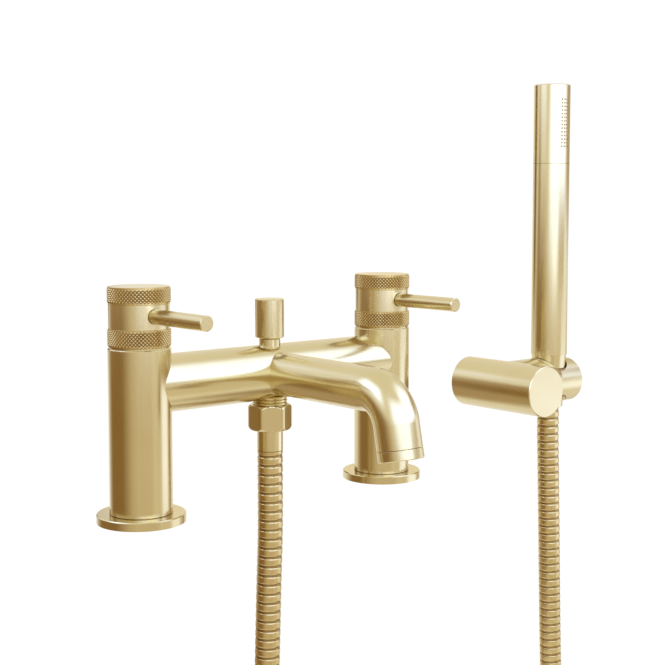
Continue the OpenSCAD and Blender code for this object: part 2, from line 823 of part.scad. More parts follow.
module cone_washer() {
    color(RUBBER) at_handset(cone_floor) tube(inlet_thread_d - 2 * seat_clear, inlet_hole, washer_t);
}

module bracket_body() {
    color(BRASS) difference() {
        union() {
            from_wall(0) edged_cylinder(stem_d, stem_l, 0, edge);
            translate([bracket_x, handset_y, bracket_z]) rotate([0, 90, 0])
                rotate_extrude() polygon([
                    [0, 0],
                    [stem_d / 2, 0],
                    [stem_d / 2, neck_x - bracket_x],
                    [holder_d / 2, neck_x + neck_l - bracket_x],
                    [holder_d / 2, holder_reach - edge],
                    [holder_d / 2 - edge, holder_reach],
                    [0, holder_reach]
                ]);
        }
        from_wall(-past) cylinder(d = hollow_d, h = stem_hollow + past);
        at_handset(0) cylinder(d = holder_bore, h = 2 * bracket_z);
        from_wall(grub_from_wall) rotate([90, 0, 0]) cylinder(d = grub_d + 2 * seat_clear, h = stem_d);
    }
}

module wall_fixing() {
    color(STEEL) difference() {
        from_wall(0) cylinder(d = hollow_d - 2 * seat_clear, h = fixing_l);
        for (side = [-1, 1])
            translate([side * wall_screw_gap / 2, 0, 0]) from_wall(-past)
                cylinder(d = wall_screw_d, h = fixing_l + 2 * past);
        from_wall(grub_from_wall) rotate([90, 0, 0])
            translate([0, 0, hollow_d / 2 - grub_bite - seat_clear])
                cylinder(d = grub_d + 2 * seat_clear, h = stem_d);
    }
}

// Depth that the grub screw reaches into the wall fixing, and below the stem's surface
grub_bite = 2;
grub_sunk = 0.6;

module bracket_grub_screw() {
    color(STEEL) from_wall(grub_from_wall) rotate([90, 0, 0])
        translate([0, 0, hollow_d / 2 - grub_bite]) cylinder(d = grub_d, h = stem_wall + grub_bite - grub_sunk);
}

// Plastic seat in the holder, with the cone of the handset's nut
module holder_seat() {
    low = cone_low_d / 2 + (seat_z - cone_z) * cone_slope + free_clear;
    color(NYLON) at_handset(seat_z) difference() {
        cylinder(d = holder_bore - 2 * seat_clear, h = seat_h);
        translate([0, 0, -past]) cylinder(
            r1 = low - past * cone_slope, r2 = low + (seat_h + past) * cone_slope, h = seat_h + 2 * past
        );
    }
}

module handset_shaft() {
    color(BRASS) at_handset(handset_z) tube(handset_d, shaft_bore, shaft_h);
}

// Places children at each nozzle, with +Z out of the head's front
module at_nozzles() {
    for (column = [0 : nozzle_columns - 1], row = [0 : nozzle_rows - 1]) {
        across = (column - (nozzle_columns - 1) / 2) * nozzle_column_gap;
        rotate([0, 0, asin(across / (handset_d / 2))])
            translate([0, 0, plate_z - head_z + plate_margin + row * nozzle_row_gap]) to_front() children();
    }
}

module handset_head() {
    color(BRASS) at_handset(head_z) difference() {
        union() {
            edged_cylinder(handset_d, head_h, 0, edge);
            translate([0, 0, -head_joint]) cylinder(d = shaft_bore - 2 * seat_clear, h = head_joint + past);
        }
        translate([0, 0, -head_joint - past]) cylinder(d = joint_bore, h = head_joint + joint_top + 2 * past);
        translate([0, 0, joint_top]) cylinder(d = shaft_bore, h = head_h - head_top_t - joint_top);
        at_nozzles() translate([0, 0, shaft_bore / 2 - past])
            cylinder(d = nozzle_d + 2 * seat_clear, h = handset_wall + 2 * past);
    }
}

// Soft strip inside the head, whose nozzles stand in the holes
module nozzle_plate() {
    strip_d = shaft_bore - 2 * seat_clear;
    color(SILICONE) at_handset(head_z) {
        intersection() {
            translate([0, 0, plate_z - head_z]) tube(strip_d, strip_d - 2 * plate_t, plate_h);
            translate([-plate_w / 2, -handset_d, 0]) cube([plate_w, handset_d, head_h]);
        }
        at_nozzles() translate([0, 0, strip_d / 2 - plate_t / 2])
            cylinder(d = nozzle_d, h = (handset_d - strip_d + plate_t) / 2 + nozzle_proud);
    }
}

module handset_pipe() {
    color(NYLON) at_handset(pipe_z) {
        tube(pipe_d, inlet_hole, pipe_top - pipe_z);
        translate([0, 0, pipe_top - pipe_z - pipe_disc_t])
            tube(joint_bore - 2 * seat_clear, inlet_hole, pipe_disc_t);
    }
}

// Thickness of the disc that closes the shaft round the water tube
pipe_disc_t = 3;

module handset_inlet() {
    low = cone_floor + washer_t;
    color(RAW_BRASS) difference() {
        union() {
            at_handset(low) cylinder(d = inlet_thread_d, h = handset_z - low);
            at_handset(handset_z) cylinder(d = shaft_bore - 2 * seat_clear, h = inlet_plug_l);
        }
        at_handset(low - past) cylinder(d = inlet_hole, h = handset_z + inlet_plug_l - low + 2 * past);
        at_handset(pipe_z) cylinder(d = pipe_d + 2 * seat_clear, h = inlet_plug_l + past);
    }
}

for (side = SIDES) {
    on_side(side[1]) ported_pillar(side[1]);
    on_side(side[1]) foot_flange();
    on_side(side[1]) foot_gasket();
    on_side(side[1]) cartridge();
    on_side(side[1]) seat_seal();
    on_side(side[1]) fixed_disc();
    on_side(side[1]) moving_disc();
    on_side(side[1]) spindle();
    on_side(side[1]) handle_hub();
    on_side(side[1]) handle_ring();
    on_side(side[1]) handle_cap();
    on_side(side[1]) handle_screw();
    on_side(side[1]) lever();
}
crossbar();
spout();
spout_collar();
aerator();
aerator_seal();
diverter_bush();
diverter_rod();
diverter_knob();
diverter_plug();
diverter_seal();
outlet_spigot();
hose_nut();
hose_washer();
hose_ferrule();
hose();
hose_inner_tube();
cone_nut();
cone_washer();
bracket_body();
wall_fixing();
bracket_grub_screw();
holder_seat();
handset_shaft();
handset_head();
nozzle_plate();
handset_pipe();
handset_inlet();
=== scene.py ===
"""Looks of a bath shower mixer in satin brass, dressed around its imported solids.

Metres. The origin is midway between the two inlets on the deck, +X runs along the crossbar to the
cold pillar, the spout points to -Y and +Z is up. Sizes of the pieces are written in millimetres.
"""

import logging
import math
from dataclasses import dataclass, replace
from enum import Enum

import bpy
import numpy as np
from bpy.types import Material, Mesh, Node, NodeSocket, NodeTree, Object
from mathutils import Euler, Matrix, Vector

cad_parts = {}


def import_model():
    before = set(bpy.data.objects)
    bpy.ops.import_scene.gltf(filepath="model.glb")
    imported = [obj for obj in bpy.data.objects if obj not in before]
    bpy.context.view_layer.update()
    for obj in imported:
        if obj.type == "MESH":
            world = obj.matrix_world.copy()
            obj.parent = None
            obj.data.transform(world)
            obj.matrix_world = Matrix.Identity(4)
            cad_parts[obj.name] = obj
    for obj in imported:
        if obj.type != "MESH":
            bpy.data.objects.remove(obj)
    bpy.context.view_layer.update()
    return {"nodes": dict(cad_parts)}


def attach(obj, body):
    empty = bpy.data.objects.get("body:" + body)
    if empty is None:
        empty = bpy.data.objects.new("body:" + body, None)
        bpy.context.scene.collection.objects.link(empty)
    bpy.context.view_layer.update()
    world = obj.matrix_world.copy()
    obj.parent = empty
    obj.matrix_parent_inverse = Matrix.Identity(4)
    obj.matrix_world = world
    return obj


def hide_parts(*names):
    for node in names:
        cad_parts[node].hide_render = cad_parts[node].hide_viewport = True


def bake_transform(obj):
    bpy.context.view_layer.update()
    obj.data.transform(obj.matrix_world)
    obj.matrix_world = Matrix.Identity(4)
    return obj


LOG = logging.getLogger("mixer")
MM = 0.001
SHARP_EDGE = math.radians(30)
WHITE = "#FFFFFF"
# Names of the two sides, and the place of each pillar's axis along the crossbar
SIDES = {"hot": -90.0, "cold": 90.0}
# Values of the stroke noise that give a metal its least and its most roughness
STROKE_NOISE = (0.3, 0.7)


def linear_colour(hex_code: str) -> tuple[float, float, float, float]:
    """Turns a colour from sRGB to linear light.

    Args:
        hex_code: the colour as six hexadecimal digits after a hash sign.

    Returns:
        Red, green, blue and an alpha of 1.
    """
    parts = [int(hex_code[i : i + 2], 16) / 255 for i in (1, 3, 5)]
    red, green, blue = (p / 12.92 if p <= 0.04045 else ((p + 0.055) / 1.055) ** 2.4 for p in parts)
    return red, green, blue, 1.0


def add_node(tree: NodeTree, kind: str, inputs: dict | tuple = (), settings: dict | None = None) -> Node:
    """Adds a node, with its inputs and its settings.

    Args:
        tree: the tree that takes the node.
        kind: Blender's name for the type of node, with an operation after a colon where it has one.
        inputs: a value, a socket or a node for each input, in order, or by its identifier or name; a node
            stands for its first output.
        settings: values of the node's own properties.

    Returns:
        The node.
    """
    kind, _, operation = kind.partition(":")
    node = tree.nodes.new(kind)
    if operation:
        node.operation = operation
    for name, value in (settings or {}).items():
        setattr(node, name, value)
    by_name = {s.name: s for s in reversed(node.inputs) if s.enabled}
    by_identifier = {s.identifier: s for s in node.inputs}
    for key, value in inputs.items() if isinstance(inputs, dict) else enumerate(inputs):
        socket = node.inputs[key] if isinstance(key, int) else by_identifier.get(key) or by_name[key]
        if isinstance(value, Node):
            value = value.outputs[0]
        if isinstance(value, NodeSocket):
            tree.links.new(value, socket)
        else:
            socket.default_value = value
    return node


def start_material(name: str) -> tuple[Material, NodeTree]:
    """Starts a material.

    Args:
        name: its name.

    Returns:
        The material and its tree, which holds a Principled shader.
    """
    made = bpy.data.materials.new(name)
    made.use_nodes = True
    return made, made.node_tree


class Grain(Enum):
    """Direction that a metal was brushed or turned in."""

    ALONG_X = (1, 0, 0)
    ALONG_Y = (0, 1, 0)
    ALONG_Z = (0, 0, 1)


@dataclass(frozen=True, kw_only=True)
class Finish:
    """A surface in two tones, with a fine relief.

    Args:
        name: the material and how its surface was made.
        light: its colour.
        deep: its colour where it is denser.
        roughness: mean roughness.
        cloud_mm: width of the slow changes of tone, or of a speck.
        relief_mm: depth of the relief.
    """

    name: str
    light: str
    deep: str
    roughness: float
    cloud_mm: float
    relief_mm: float

    def two_tones(self, tree: NodeTree, place: NodeSocket) -> tuple[NodeSocket, NodeSocket]:
        """Adds the clouds of the two tones.

        Args:
            tree: the material's tree.
            place: socket of the place on the piece.

        Returns:
            The clouds, and the colour that they give.
        """
        scale = 1 / (self.cloud_mm * MM)
        clouds = add_node(tree, "ShaderNodeTexNoise", {"Vector": place, "Scale": scale, "Detail": 2.0})
        inputs = {
            "Factor_Float": clouds,
            "A_Color": linear_colour(self.light),
            "B_Color": linear_colour(self.deep),
        }
        tone = add_node(tree, "ShaderNodeMix", inputs, {"data_type": "RGBA"})
        return clouds.outputs[0], tone.outputs[2]

    def raise_relief(self, tree: NodeTree, shader: Node, height: NodeSocket) -> None:
        """Adds the relief.

        Args:
            tree: the material's tree.
            shader: the node that takes the relief.
            height: socket of the relief's height.
        """
        inputs = {"Strength": 1.0, "Distance": self.relief_mm * MM, "Height": height}
        bump = add_node(tree, "ShaderNodeBump", inputs)
        tree.links.new(bump.outputs[0], shader.inputs["Normal"])


@dataclass(frozen=True, kw_only=True)
class MetalFinish(Finish):
    """A metal with the fine strokes of a brush or a lathe tool, and painted shade in its grooves or at a seam
    where it has them.

    Args:
        roughness_spread: how far the strokes change the roughness.
        stroke_mm: width of a stroke.
        stroke_length_mm: length of a stroke.
        groove: attribute that is 0 in grooves and 1 on crests, which sets where painted shade falls, where
            the piece has one.
        painted_shade_colour: colour of the painted shade in the grooves, and of the painted shadow line on
            the seam.
        seam_shade_mm: height and width of a level painted shadow line at a seam, where the piece has one.
    """

    roughness_spread: float
    stroke_mm: float
    stroke_length_mm: float
    groove: str = ""
    painted_shade_colour: str = ""
    seam_shade_mm: tuple[float, float] | None = None

    def unshaded_mask(self, tree: NodeTree, place: NodeSocket) -> NodeSocket | None:
        """Adds the mask of painted shade.

        Args:
            tree: the material's tree.
            place: socket of the place on the piece.

        Returns:
            A socket that is 0 where painted shade darkens a groove or the seam and 1 elsewhere, or None where
            there is neither.
        """
        if self.groove:
            shown = add_node(tree, "ShaderNodeAttribute", settings={"attribute_name": self.groove})
            return shown.outputs["Fac"]
        if not self.seam_shade_mm:
            return None
        middle, width = self.seam_shade_mm
        height = add_node(tree, "ShaderNodeSeparateXYZ", (place,)).outputs[2]
        off_seam = add_node(tree, "ShaderNodeMath:SUBTRACT", (height, middle * MM))
        far = add_node(tree, "ShaderNodeMath:ABSOLUTE", (off_seam,))
        return add_node(tree, "ShaderNodeMath:GREATER_THAN", (far, width / 2 * MM)).outputs[0]

    def material(self, grain: Grain) -> Material:
        """Gives the finish with its strokes in one direction.

        Args:
            grain: direction of the strokes.

        Returns:
            The material, made the first time that it is asked for.
        """
        name = f"{self.name}_{grain.name.lower()}"
        if name in bpy.data.materials:
            return bpy.data.materials[name]
        made, tree = start_material(name)
        shader = tree.nodes["Principled BSDF"]
        shader.inputs["Metallic"].default_value = 1.0
        place = add_node(tree, "ShaderNodeTexCoord").outputs["Object"]
        scale = [1 / ((self.stroke_length_mm if axis else self.stroke_mm) * MM) for axis in grain.value]
        stretched = add_node(tree, "ShaderNodeMapping", {"Vector": place, "Scale": scale})
        strokes = add_node(tree, "ShaderNodeTexNoise", {"Vector": stretched, "Scale": 1.0, "Detail": 3.0})
        colour = self.two_tones(tree, place)[1]
        # Painted shade: grooves, knurl valleys and seam gaps are darkened to the painted shade colour
        unshaded_mask = self.unshaded_mask(tree, place)
        if unshaded_mask:
            inputs = {
                "Factor_Float": unshaded_mask,
                "A_Color": linear_colour(self.painted_shade_colour),
                "B_Color": colour,
            }
            colour = add_node(tree, "ShaderNodeMix", inputs, {"data_type": "RGBA"}).outputs[2]
        tree.links.new(colour, shader.inputs["Base Color"])
        inputs = {
            "Value": strokes,
            "From Min": STROKE_NOISE[0],
            "From Max": STROKE_NOISE[1],
            "To Min": self.roughness - self.roughness_spread,
            "To Max": self.roughness + self.roughness_spread,
        }
        rough = add_node(tree, "ShaderNodeMapRange", inputs)
        tree.links.new(rough.outputs[0], shader.inputs["Roughness"])
        self.raise_relief(tree, shader, strokes.outputs[0])
        return made


@dataclass(frozen=True, kw_only=True)
class MouldedFinish(Finish):
    """A moulded or fired material with a fine skin.

    Args:
        ior: index of refraction.
    """

    ior: float

    def material(self, grain: Grain = Grain.ALONG_Z) -> Material:
        """Gives the finish.

        Args:
            grain: not used, since a moulded skin has no direction.

        Returns:
            The material, made the first time that it is asked for.
        """
        if self.name in bpy.data.materials:
            return bpy.data.materials[self.name]
        made, tree = start_material(self.name)
        shader = tree.nodes["Principled BSDF"]
        shader.inputs["Roughness"].default_value = self.roughness
        shader.inputs["IOR"].default_value = self.ior
        place = add_node(tree, "ShaderNodeTexCoord").outputs["Object"]
        specks, colour = self.two_tones(tree, place)
        tree.links.new(colour, shader.inputs["Base Color"])
        self.raise_relief(tree, shader, specks)
        return made


# Brass, brushed with a fine belt and lacquered: a pale gold with soft-edged reflections and hair-fine
# strokes. Real strokes are under 0.1 mm wide, on every metal here, so they are drawn at 0.3 mm or more
# to show.
SATIN_BRASS = MetalFinish(
    name="satin_brass",
    light="#D9C999",
    deep="#D2C08C",
    roughness=0.2,
    roughness_spread=0.025,
    stroke_mm=0.35,
    stroke_length_mm=14,
    relief_mm=0.0013,
    cloud_mm=28,
)
# The same brass on the handset, with a painted shadow line where its head is pressed into its shaft.
SEAM_SHADOW_BRASS = replace(
    SATIN_BRASS, name="satin_brass_seam_shadow", painted_shade_colour="#B89F64", seam_shade_mm=(203.75, 0.4)
)
# The same brass on the pillars, with a painted shadow line for the gap where each drops into its foot flange.
FOOT_SHADOW_BRASS = replace(
    SATIN_BRASS, name="satin_brass_foot_shadow", painted_shade_colour="#8A6C3A", seam_shade_mm=(5.0, 0.4)
)
# Brass, knurled by rollers and lacquered: many small facets, each a little polished by the tool, with painted
# shade at the feet of the pyramids.
KNURLED_BRASS = MetalFinish(
    name="knurled_brass",
    light="#D2B97C",
    deep="#C7AB68",
    roughness=0.24,
    roughness_spread=0.03,
    stroke_mm=0.3,
    stroke_length_mm=0.6,
    relief_mm=0.003,
    cloud_mm=9,
    groove="knurl_height",
    painted_shade_colour="#8A6530",
)
# Brass strip, rolled and interlocked into a hose: crests in the brass's own colour, and painted shade
# in the grooves where the strip folds under.
HOSE_BRASS = MetalFinish(
    name="wound_brass_strip",
    light="#D6C18B",
    deep="#CBB378",
    roughness=0.25,
    roughness_spread=0.03,
    stroke_mm=0.3,
    stroke_length_mm=3,
    relief_mm=0.003,
    cloud_mm=12,
    groove="rib_unshaded",
    painted_shade_colour="#86662F",
)
# Brass as it comes off the lathe: yellower than the lacquered parts, with turning marks.
RAW_BRASS = MetalFinish(
    name="turned_brass",
    light="#CBA65C",
    deep="#B98F45",
    roughness=0.3,
    roughness_spread=0.06,
    stroke_mm=0.4,
    stroke_length_mm=4,
    relief_mm=0.006,
    cloud_mm=10,
)
# Stainless steel, turned: a cool grey with turning marks.
TURNED_STEEL = MetalFinish(
    name="turned_stainless_steel",
    light="#C9CACB",
    deep="#AEB0B2",
    roughness=0.28,
    roughness_spread=0.06,
    stroke_mm=0.3,
    stroke_length_mm=4,
    relief_mm=0.005,
    cloud_mm=10,
)
# Nitrile rubber, moulded: nearly black and matt, with a dusty bloom.
NITRILE = MouldedFinish(
    name="moulded_nitrile",
    light="#1F1F20",
    deep="#2B2B2C",
    roughness=0.72,
    ior=1.52,
    cloud_mm=0.6,
    relief_mm=0.02,
)
# Silicone, moulded soft in a brass tint: matt, so that each nozzle reads as a small dark dot on the
# bright tube.
TINTED_SILICONE = MouldedFinish(
    name="moulded_silicone",
    light="#C2A566",
    deep="#B09254",
    roughness=0.55,
    ior=1.41,
    cloud_mm=0.5,
    relief_mm=0.01,
)
# Alumina, fired and lapped: white with a dull gloss.
LAPPED_ALUMINA = MouldedFinish(
    name="lapped_alumina",
    light="#EFEDE8",
    deep="#E4E1DA",
    roughness=0.22,
    ior=1.76,
    cloud_mm=0.4,
    relief_mm=0.002,
)
# Acetal, moulded: ivory with the faint skin of its mould.
MOULDED_ACETAL = MouldedFinish(
    name="moulded_acetal",
    light="#E3E0D6",
    deep="#D8D4C8",
    roughness=0.42,
    ior=1.48,
    cloud_mm=0.5,
    relief_mm=0.008,
)
# Acetal, moulded in a brass tint: a matt lining whose dark brown is partly its own tint and partly painted
# shadow, so that the holder's rim ends in a soft brown line.
TINT_AND_SHADE_ACETAL = replace(
    MOULDED_ACETAL, name="moulded_tint_and_shade_acetal", light="#9C7B43", deep="#8F6F3A", roughness=0.6
)


def link_piece(name: str, mesh: Mesh) -> Object:
    """Puts a mesh in the scene as an object at the origin."""
    piece = bpy.data.objects.new(name, mesh)
    bpy.context.scene.collection.objects.link(piece)
    return piece


def smooth_faces(mesh: Mesh) -> None:
    """Shades a mesh smooth, apart from its sharp edges."""
    mesh.update()
    mesh.shade_smooth()
    mesh.set_sharp_from_angle(angle=SHARP_EDGE)


def lathe_mesh(name: str, outline: list[tuple[float, float]], sides: int, axis_x: float = 0.0) -> Mesh:
    """Turns a closed outline round an upright axis.

    Args:
        name: name of the mesh.
        outline: radius and height of each point, going up the outside; a radius of 0 is a pole.
        sides: faces round the axis.
        axis_x: place of the axis along the crossbar.

    Returns:
        A closed mesh with smooth sides and sharp edges.
    """
    turns = np.arange(sides) * 2 * math.pi / sides
    points: list[tuple[float, float, float]] = []
    rings: list[list[int]] = []
    for radius, height in outline:
        start = len(points)
        for t in turns if radius > 0 else turns[:1]:
            points.append(((axis_x + radius * math.cos(t)) * MM, radius * math.sin(t) * MM, height * MM))
        rings.append([start + i if radius > 0 else start for i in range(sides)])
    faces = []
    for low, high in zip(rings, rings[1:] + rings[:1]):
        for i in range(sides):
            j = (i + 1) % sides
            corners = list(dict.fromkeys((low[i], low[j], high[j], high[i])))
            if len(corners) > 2:
                faces.append(corners)
    mesh = bpy.data.meshes.new(name)
    mesh.from_pydata(points, [], faces)
    smooth_faces(mesh)
    return mesh


class NodeMaker:
    """A Geometry Nodes tree with named inputs, which makes a piece from a base mesh."""

    def __init__(self, name: str) -> None:
        """Starts the tree.

        Args:
            name: name of the tree.
        """
        self.tree = bpy.data.node_groups.new(name, "GeometryNodeTree")
        interface = self.tree.interface
        interface.new_socket("Base", in_out="INPUT", socket_type="NodeSocketGeometry")
        interface.new_socket("Finish", in_out="INPUT", socket_type="NodeSocketMaterial")
        interface.new_socket("Piece", in_out="OUTPUT", socket_type="NodeSocketGeometry")
        self.values: dict[str, float | int] = {}
        self.entry = self.tree.nodes.new("NodeGroupInput")

    def size(self, name: str, value: float | int) -> NodeSocket:
        """Adds a named input.

        Args:
            name: name of the input.
            value: its value, whole for a count.

        Returns:
            The socket that gives the value inside the tree.
        """
        kind = "NodeSocketInt" if isinstance(value, int) else "NodeSocketFloat"
        self.tree.interface.new_socket(name, in_out="INPUT", socket_type=kind)
        self.values[name] = value
        return self.entry.outputs[name]

    def add(self, kind: str, inputs: dict | tuple = (), settings: dict | None = None) -> Node:
        """Adds a node to the tree, as add_node does."""
        return add_node(self.tree, kind, inputs, settings)

    def row_of(self, index: Node, per_row: NodeSocket) -> Node:
        """Adds the number of the row that each point is in.

        Args:
            index: the number of each point.
            per_row: how many points a row has.

        Returns:
            The node that gives the row.
        """
        # Half a point on, so that rounding can't put a row's first point in the row before
        inside = self.add("ShaderNodeMath:ADD", (index, 0.5))
        rows = self.add("ShaderNodeMath:DIVIDE", (inside, per_row))
        return self.add("ShaderNodeMath:FLOOR", (rows,))

    def close(self, *made: Node) -> None:
        """Ends the tree in real geometry with its finish.

        Args:
            made: the nodes that made the geometry.
        """
        both = self.add("GeometryNodeJoinGeometry")
        for node in made:
            self.tree.links.new(node.outputs[0], both.inputs[0])
        real = self.add("GeometryNodeRealizeInstances", (both,))
        inputs = {"Geometry": real, "Material": self.entry.outputs["Finish"]}
        dressed = self.add("GeometryNodeSetMaterial", inputs)
        self.add("NodeGroupOutput", (dressed,))

    def run(self, name: str, base: Mesh, finish: Material) -> Object:
        """Makes the piece as a plain mesh.

        Args:
            name: name of the piece.
            base: mesh that the tree starts from.
            finish: material of the piece.

        Returns:
            The piece, at the origin and with no modifier.
        """
        piece = link_piece(name, base)
        modifier = piece.modifiers.new("made_by_nodes", "NODES")
        modifier.node_group = self.tree
        for item in self.tree.interface.items_tree:
            if item.name in self.values:
                modifier[item.identifier] = self.values[item.name]
            elif item.name == "Finish":
                modifier[item.identifier] = finish
        graph = bpy.context.evaluated_depsgraph_get()
        made = bpy.data.meshes.new_from_object(piece.evaluated_get(graph), depsgraph=graph)
        piece.modifiers.clear()
        made.materials.clear()
        made.materials.append(finish)
        piece.data = made
        made.name = name
        return piece


@dataclass
class ShowerHose:
    """The ribbed hose, which hangs in a loop from the mixer's outlet to the handset's nut.

    Args:
        route: points of its centreline, the same as the solid follows.
        route_steps: fine points between two points of the route.
        crest_d: diameter over the ribs.
        groove_d: diameter in the grooves.
        rib_pitch: distance from rib to rib.
        fold_share: height of the strip's fold in each groove, as a share of the rib's.
        rings_per_rib: rings of points that draw one rib.
        fold_rings: rings from a groove's middle to the edge of the fold.
        foot_rings: rings from a groove's middle to where the rib starts to rise.
        crest_rings: rings from a groove's middle to where the rib is at its full height.
        shade_power: how fast the painted shade deepens from the crest to the groove.
        sides: faces round the hose.
        blend_from_x: where along the crossbar it starts to follow the handset; not used.
        blend_to_x: where it follows the handset in full; not used.
        fittings: the pieces at its ends; not used.
    """

    route: tuple[tuple[float, float, float], ...] = (
        (0, 0, 28.5), (0, 0, 8), (0, 0, -14), (-1.5, 0, -60), (-3, 0, -110), (-5, 0, -180),
        (-7, 0, -250), (-8, -1, -320), (-7, -4, -388), (3, -10, -438), (30.5, -19, -479), (72, -27, -506),
        (121, -30, -516), (170, -28, -506), (211.5, -23, -479), (239, -17, -438), (249.5, -13, -388),
        (250.7, -11, -320), (249.8, -10.5, -250), (247.8, -10.5, -180), (245.3, -10.5, -120),
        (243.2, -10.5, -60), (241.4, -10.5, -10), (240.5, -10.5, 14), (240.5, -10.5, 22),
        (240.5, -10.5, 31.9),
    )  # fmt: skip
    route_steps: int = 10
    crest_d: float = 15.4
    groove_d: float = 14.0
    rib_pitch: float = 5.6
    fold_share: float = 0.6
    rings_per_rib: int = 12
    fold_rings: float = 0.5
    foot_rings: float = 0.8
    crest_rings: float = 2.4
    shade_power: float = 1.5
    sides: int = 26
    blend_from_x: float = 60.0
    blend_to_x: float = 200.0
    fittings: tuple[str, ...] = ("hex_nut", "hose_washer", "hose_ferrule", "cone_nut", "cone_washer")

    def centreline(self) -> np.ndarray:
        """Works out the smooth curve through the route.

        Returns:
            Its fine points, in metres.
        """
        points = np.array(self.route, float) * MM
        steps = np.diff(points, axis=0)
        spans = np.linalg.norm(steps, axis=1)
        headings = np.empty_like(points)
        headings[0] = steps[0] / spans[0]
        headings[-1] = steps[-1] / spans[-1]
        before, after = spans[:-1, None], spans[1:, None]
        headings[1:-1] = (steps[1:] * before / after + steps[:-1] * after / before) / (before + after)
        curve = []
        for i, span in enumerate(spans):
            for t in np.arange(self.route_steps) / self.route_steps:
                t2, t3 = t * t, t * t * t
                curve.append(
                    (2 * t3 - 3 * t2 + 1) * points[i]
                    + (t3 - 2 * t2 + t) * span * headings[i]
                    + (3 * t2 - 2 * t3) * points[i + 1]
                    + (t3 - t2) * span * headings[i + 1]
                )
        return np.array([*curve, points[-1]])

    def nodes(self, length: float) -> NodeMaker:
        """Builds the tree that sweeps the ribbed section along the curve.

        Args:
            length: length of the curve in metres.

        Returns:
            The tree.
        """
        ribs = round(length / (self.rib_pitch * MM))
        maker = NodeMaker("ribbed_hose")
        count = maker.size("Rings", ribs * self.rings_per_rib + 1)
        per_rib = maker.size("Rings per rib", self.rings_per_rib)
        groove_r = maker.size("Groove radius", self.groove_d / 2 * MM)
        depth = maker.size("Rib height", (self.crest_d - self.groove_d) / 2 * MM)
        sides = maker.size("Sides", self.sides)
        fold = maker.size("Fold height", self.fold_share)
        fold_edge = maker.size("Fold edge", self.fold_rings)
        rib_foot = maker.size("Rib foot", self.foot_rings)
        rib_crest = maker.size("Rib crest", self.crest_rings)
        shade_power = maker.size("Shade power", self.shade_power)
        line = maker.add("GeometryNodeMeshToCurve", {"Mesh": maker.entry.outputs["Base"]})
        evenly = maker.add("GeometryNodeResampleCurve", {"Curve": line, "Count": count})
        index = maker.add("GeometryNodeInputIndex")
        step = maker.add("ShaderNodeMath:MODULO", (index, per_rib))
        half_rib = maker.add("ShaderNodeMath:MULTIPLY", (per_rib, 0.5))
        past_groove = maker.add("ShaderNodeMath:SUBTRACT", (step, half_rib))
        off_groove = maker.add("ShaderNodeMath:ABSOLUTE", (past_groove,))
        rise = {"Value": off_groove, "From Min": rib_foot, "From Max": rib_crest}
        crest = maker.add("ShaderNodeMapRange", rise, {"interpolation_type": "SMOOTHSTEP"})
        at_fold = maker.add("ShaderNodeMath:LESS_THAN", (off_groove, fold_edge))
        folded = maker.add("ShaderNodeMath:MULTIPLY", (at_fold, fold))
        height = maker.add("ShaderNodeMath:ADD", (crest, folded))
        # Share of the brass's own colour on each ring, 1 on the crests; the rest is painted shade
        unshaded_share = maker.add("ShaderNodeMath:POWER", (height, shade_power))
        marked = maker.add(
            "GeometryNodeStoreNamedAttribute",
            {"Geometry": evenly, "Name": "rib_unshaded", "Value": unshaded_share},
            {"data_type": "FLOAT", "domain": "POINT"},
        )
        section = maker.add("GeometryNodeCurvePrimitiveCircle", {"Resolution": sides, "Radius": 1.0})
        rib = maker.add("ShaderNodeMath:MULTIPLY", (height, depth))
        radius = maker.add("ShaderNodeMath:ADD", (groove_r, rib))
        sweep = {"Curve": marked, "Profile Curve": section, "Scale": radius, "Fill Caps": True}
        maker.close(maker.add("GeometryNodeCurveToMesh", sweep))
        return maker

    def build(self) -> Object:
        """Makes the hose, which bends between the mixer and the handset.

        Returns:
            The piece.
        """
        curve = self.centreline()
        length = float(np.linalg.norm(np.diff(curve, axis=0), axis=1).sum())
        base = bpy.data.meshes.new("hose_line")
        base.from_pydata(curve.tolist(), [(i, i + 1) for i in range(len(curve) - 1)], [])
        hose = self.nodes(length).run("shower_hose", base, HOSE_BRASS.material(Grain.ALONG_Z))
        hose.data.shade_smooth()
        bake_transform(hose)
        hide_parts("hose", "hose_inner_tube")
        return hose


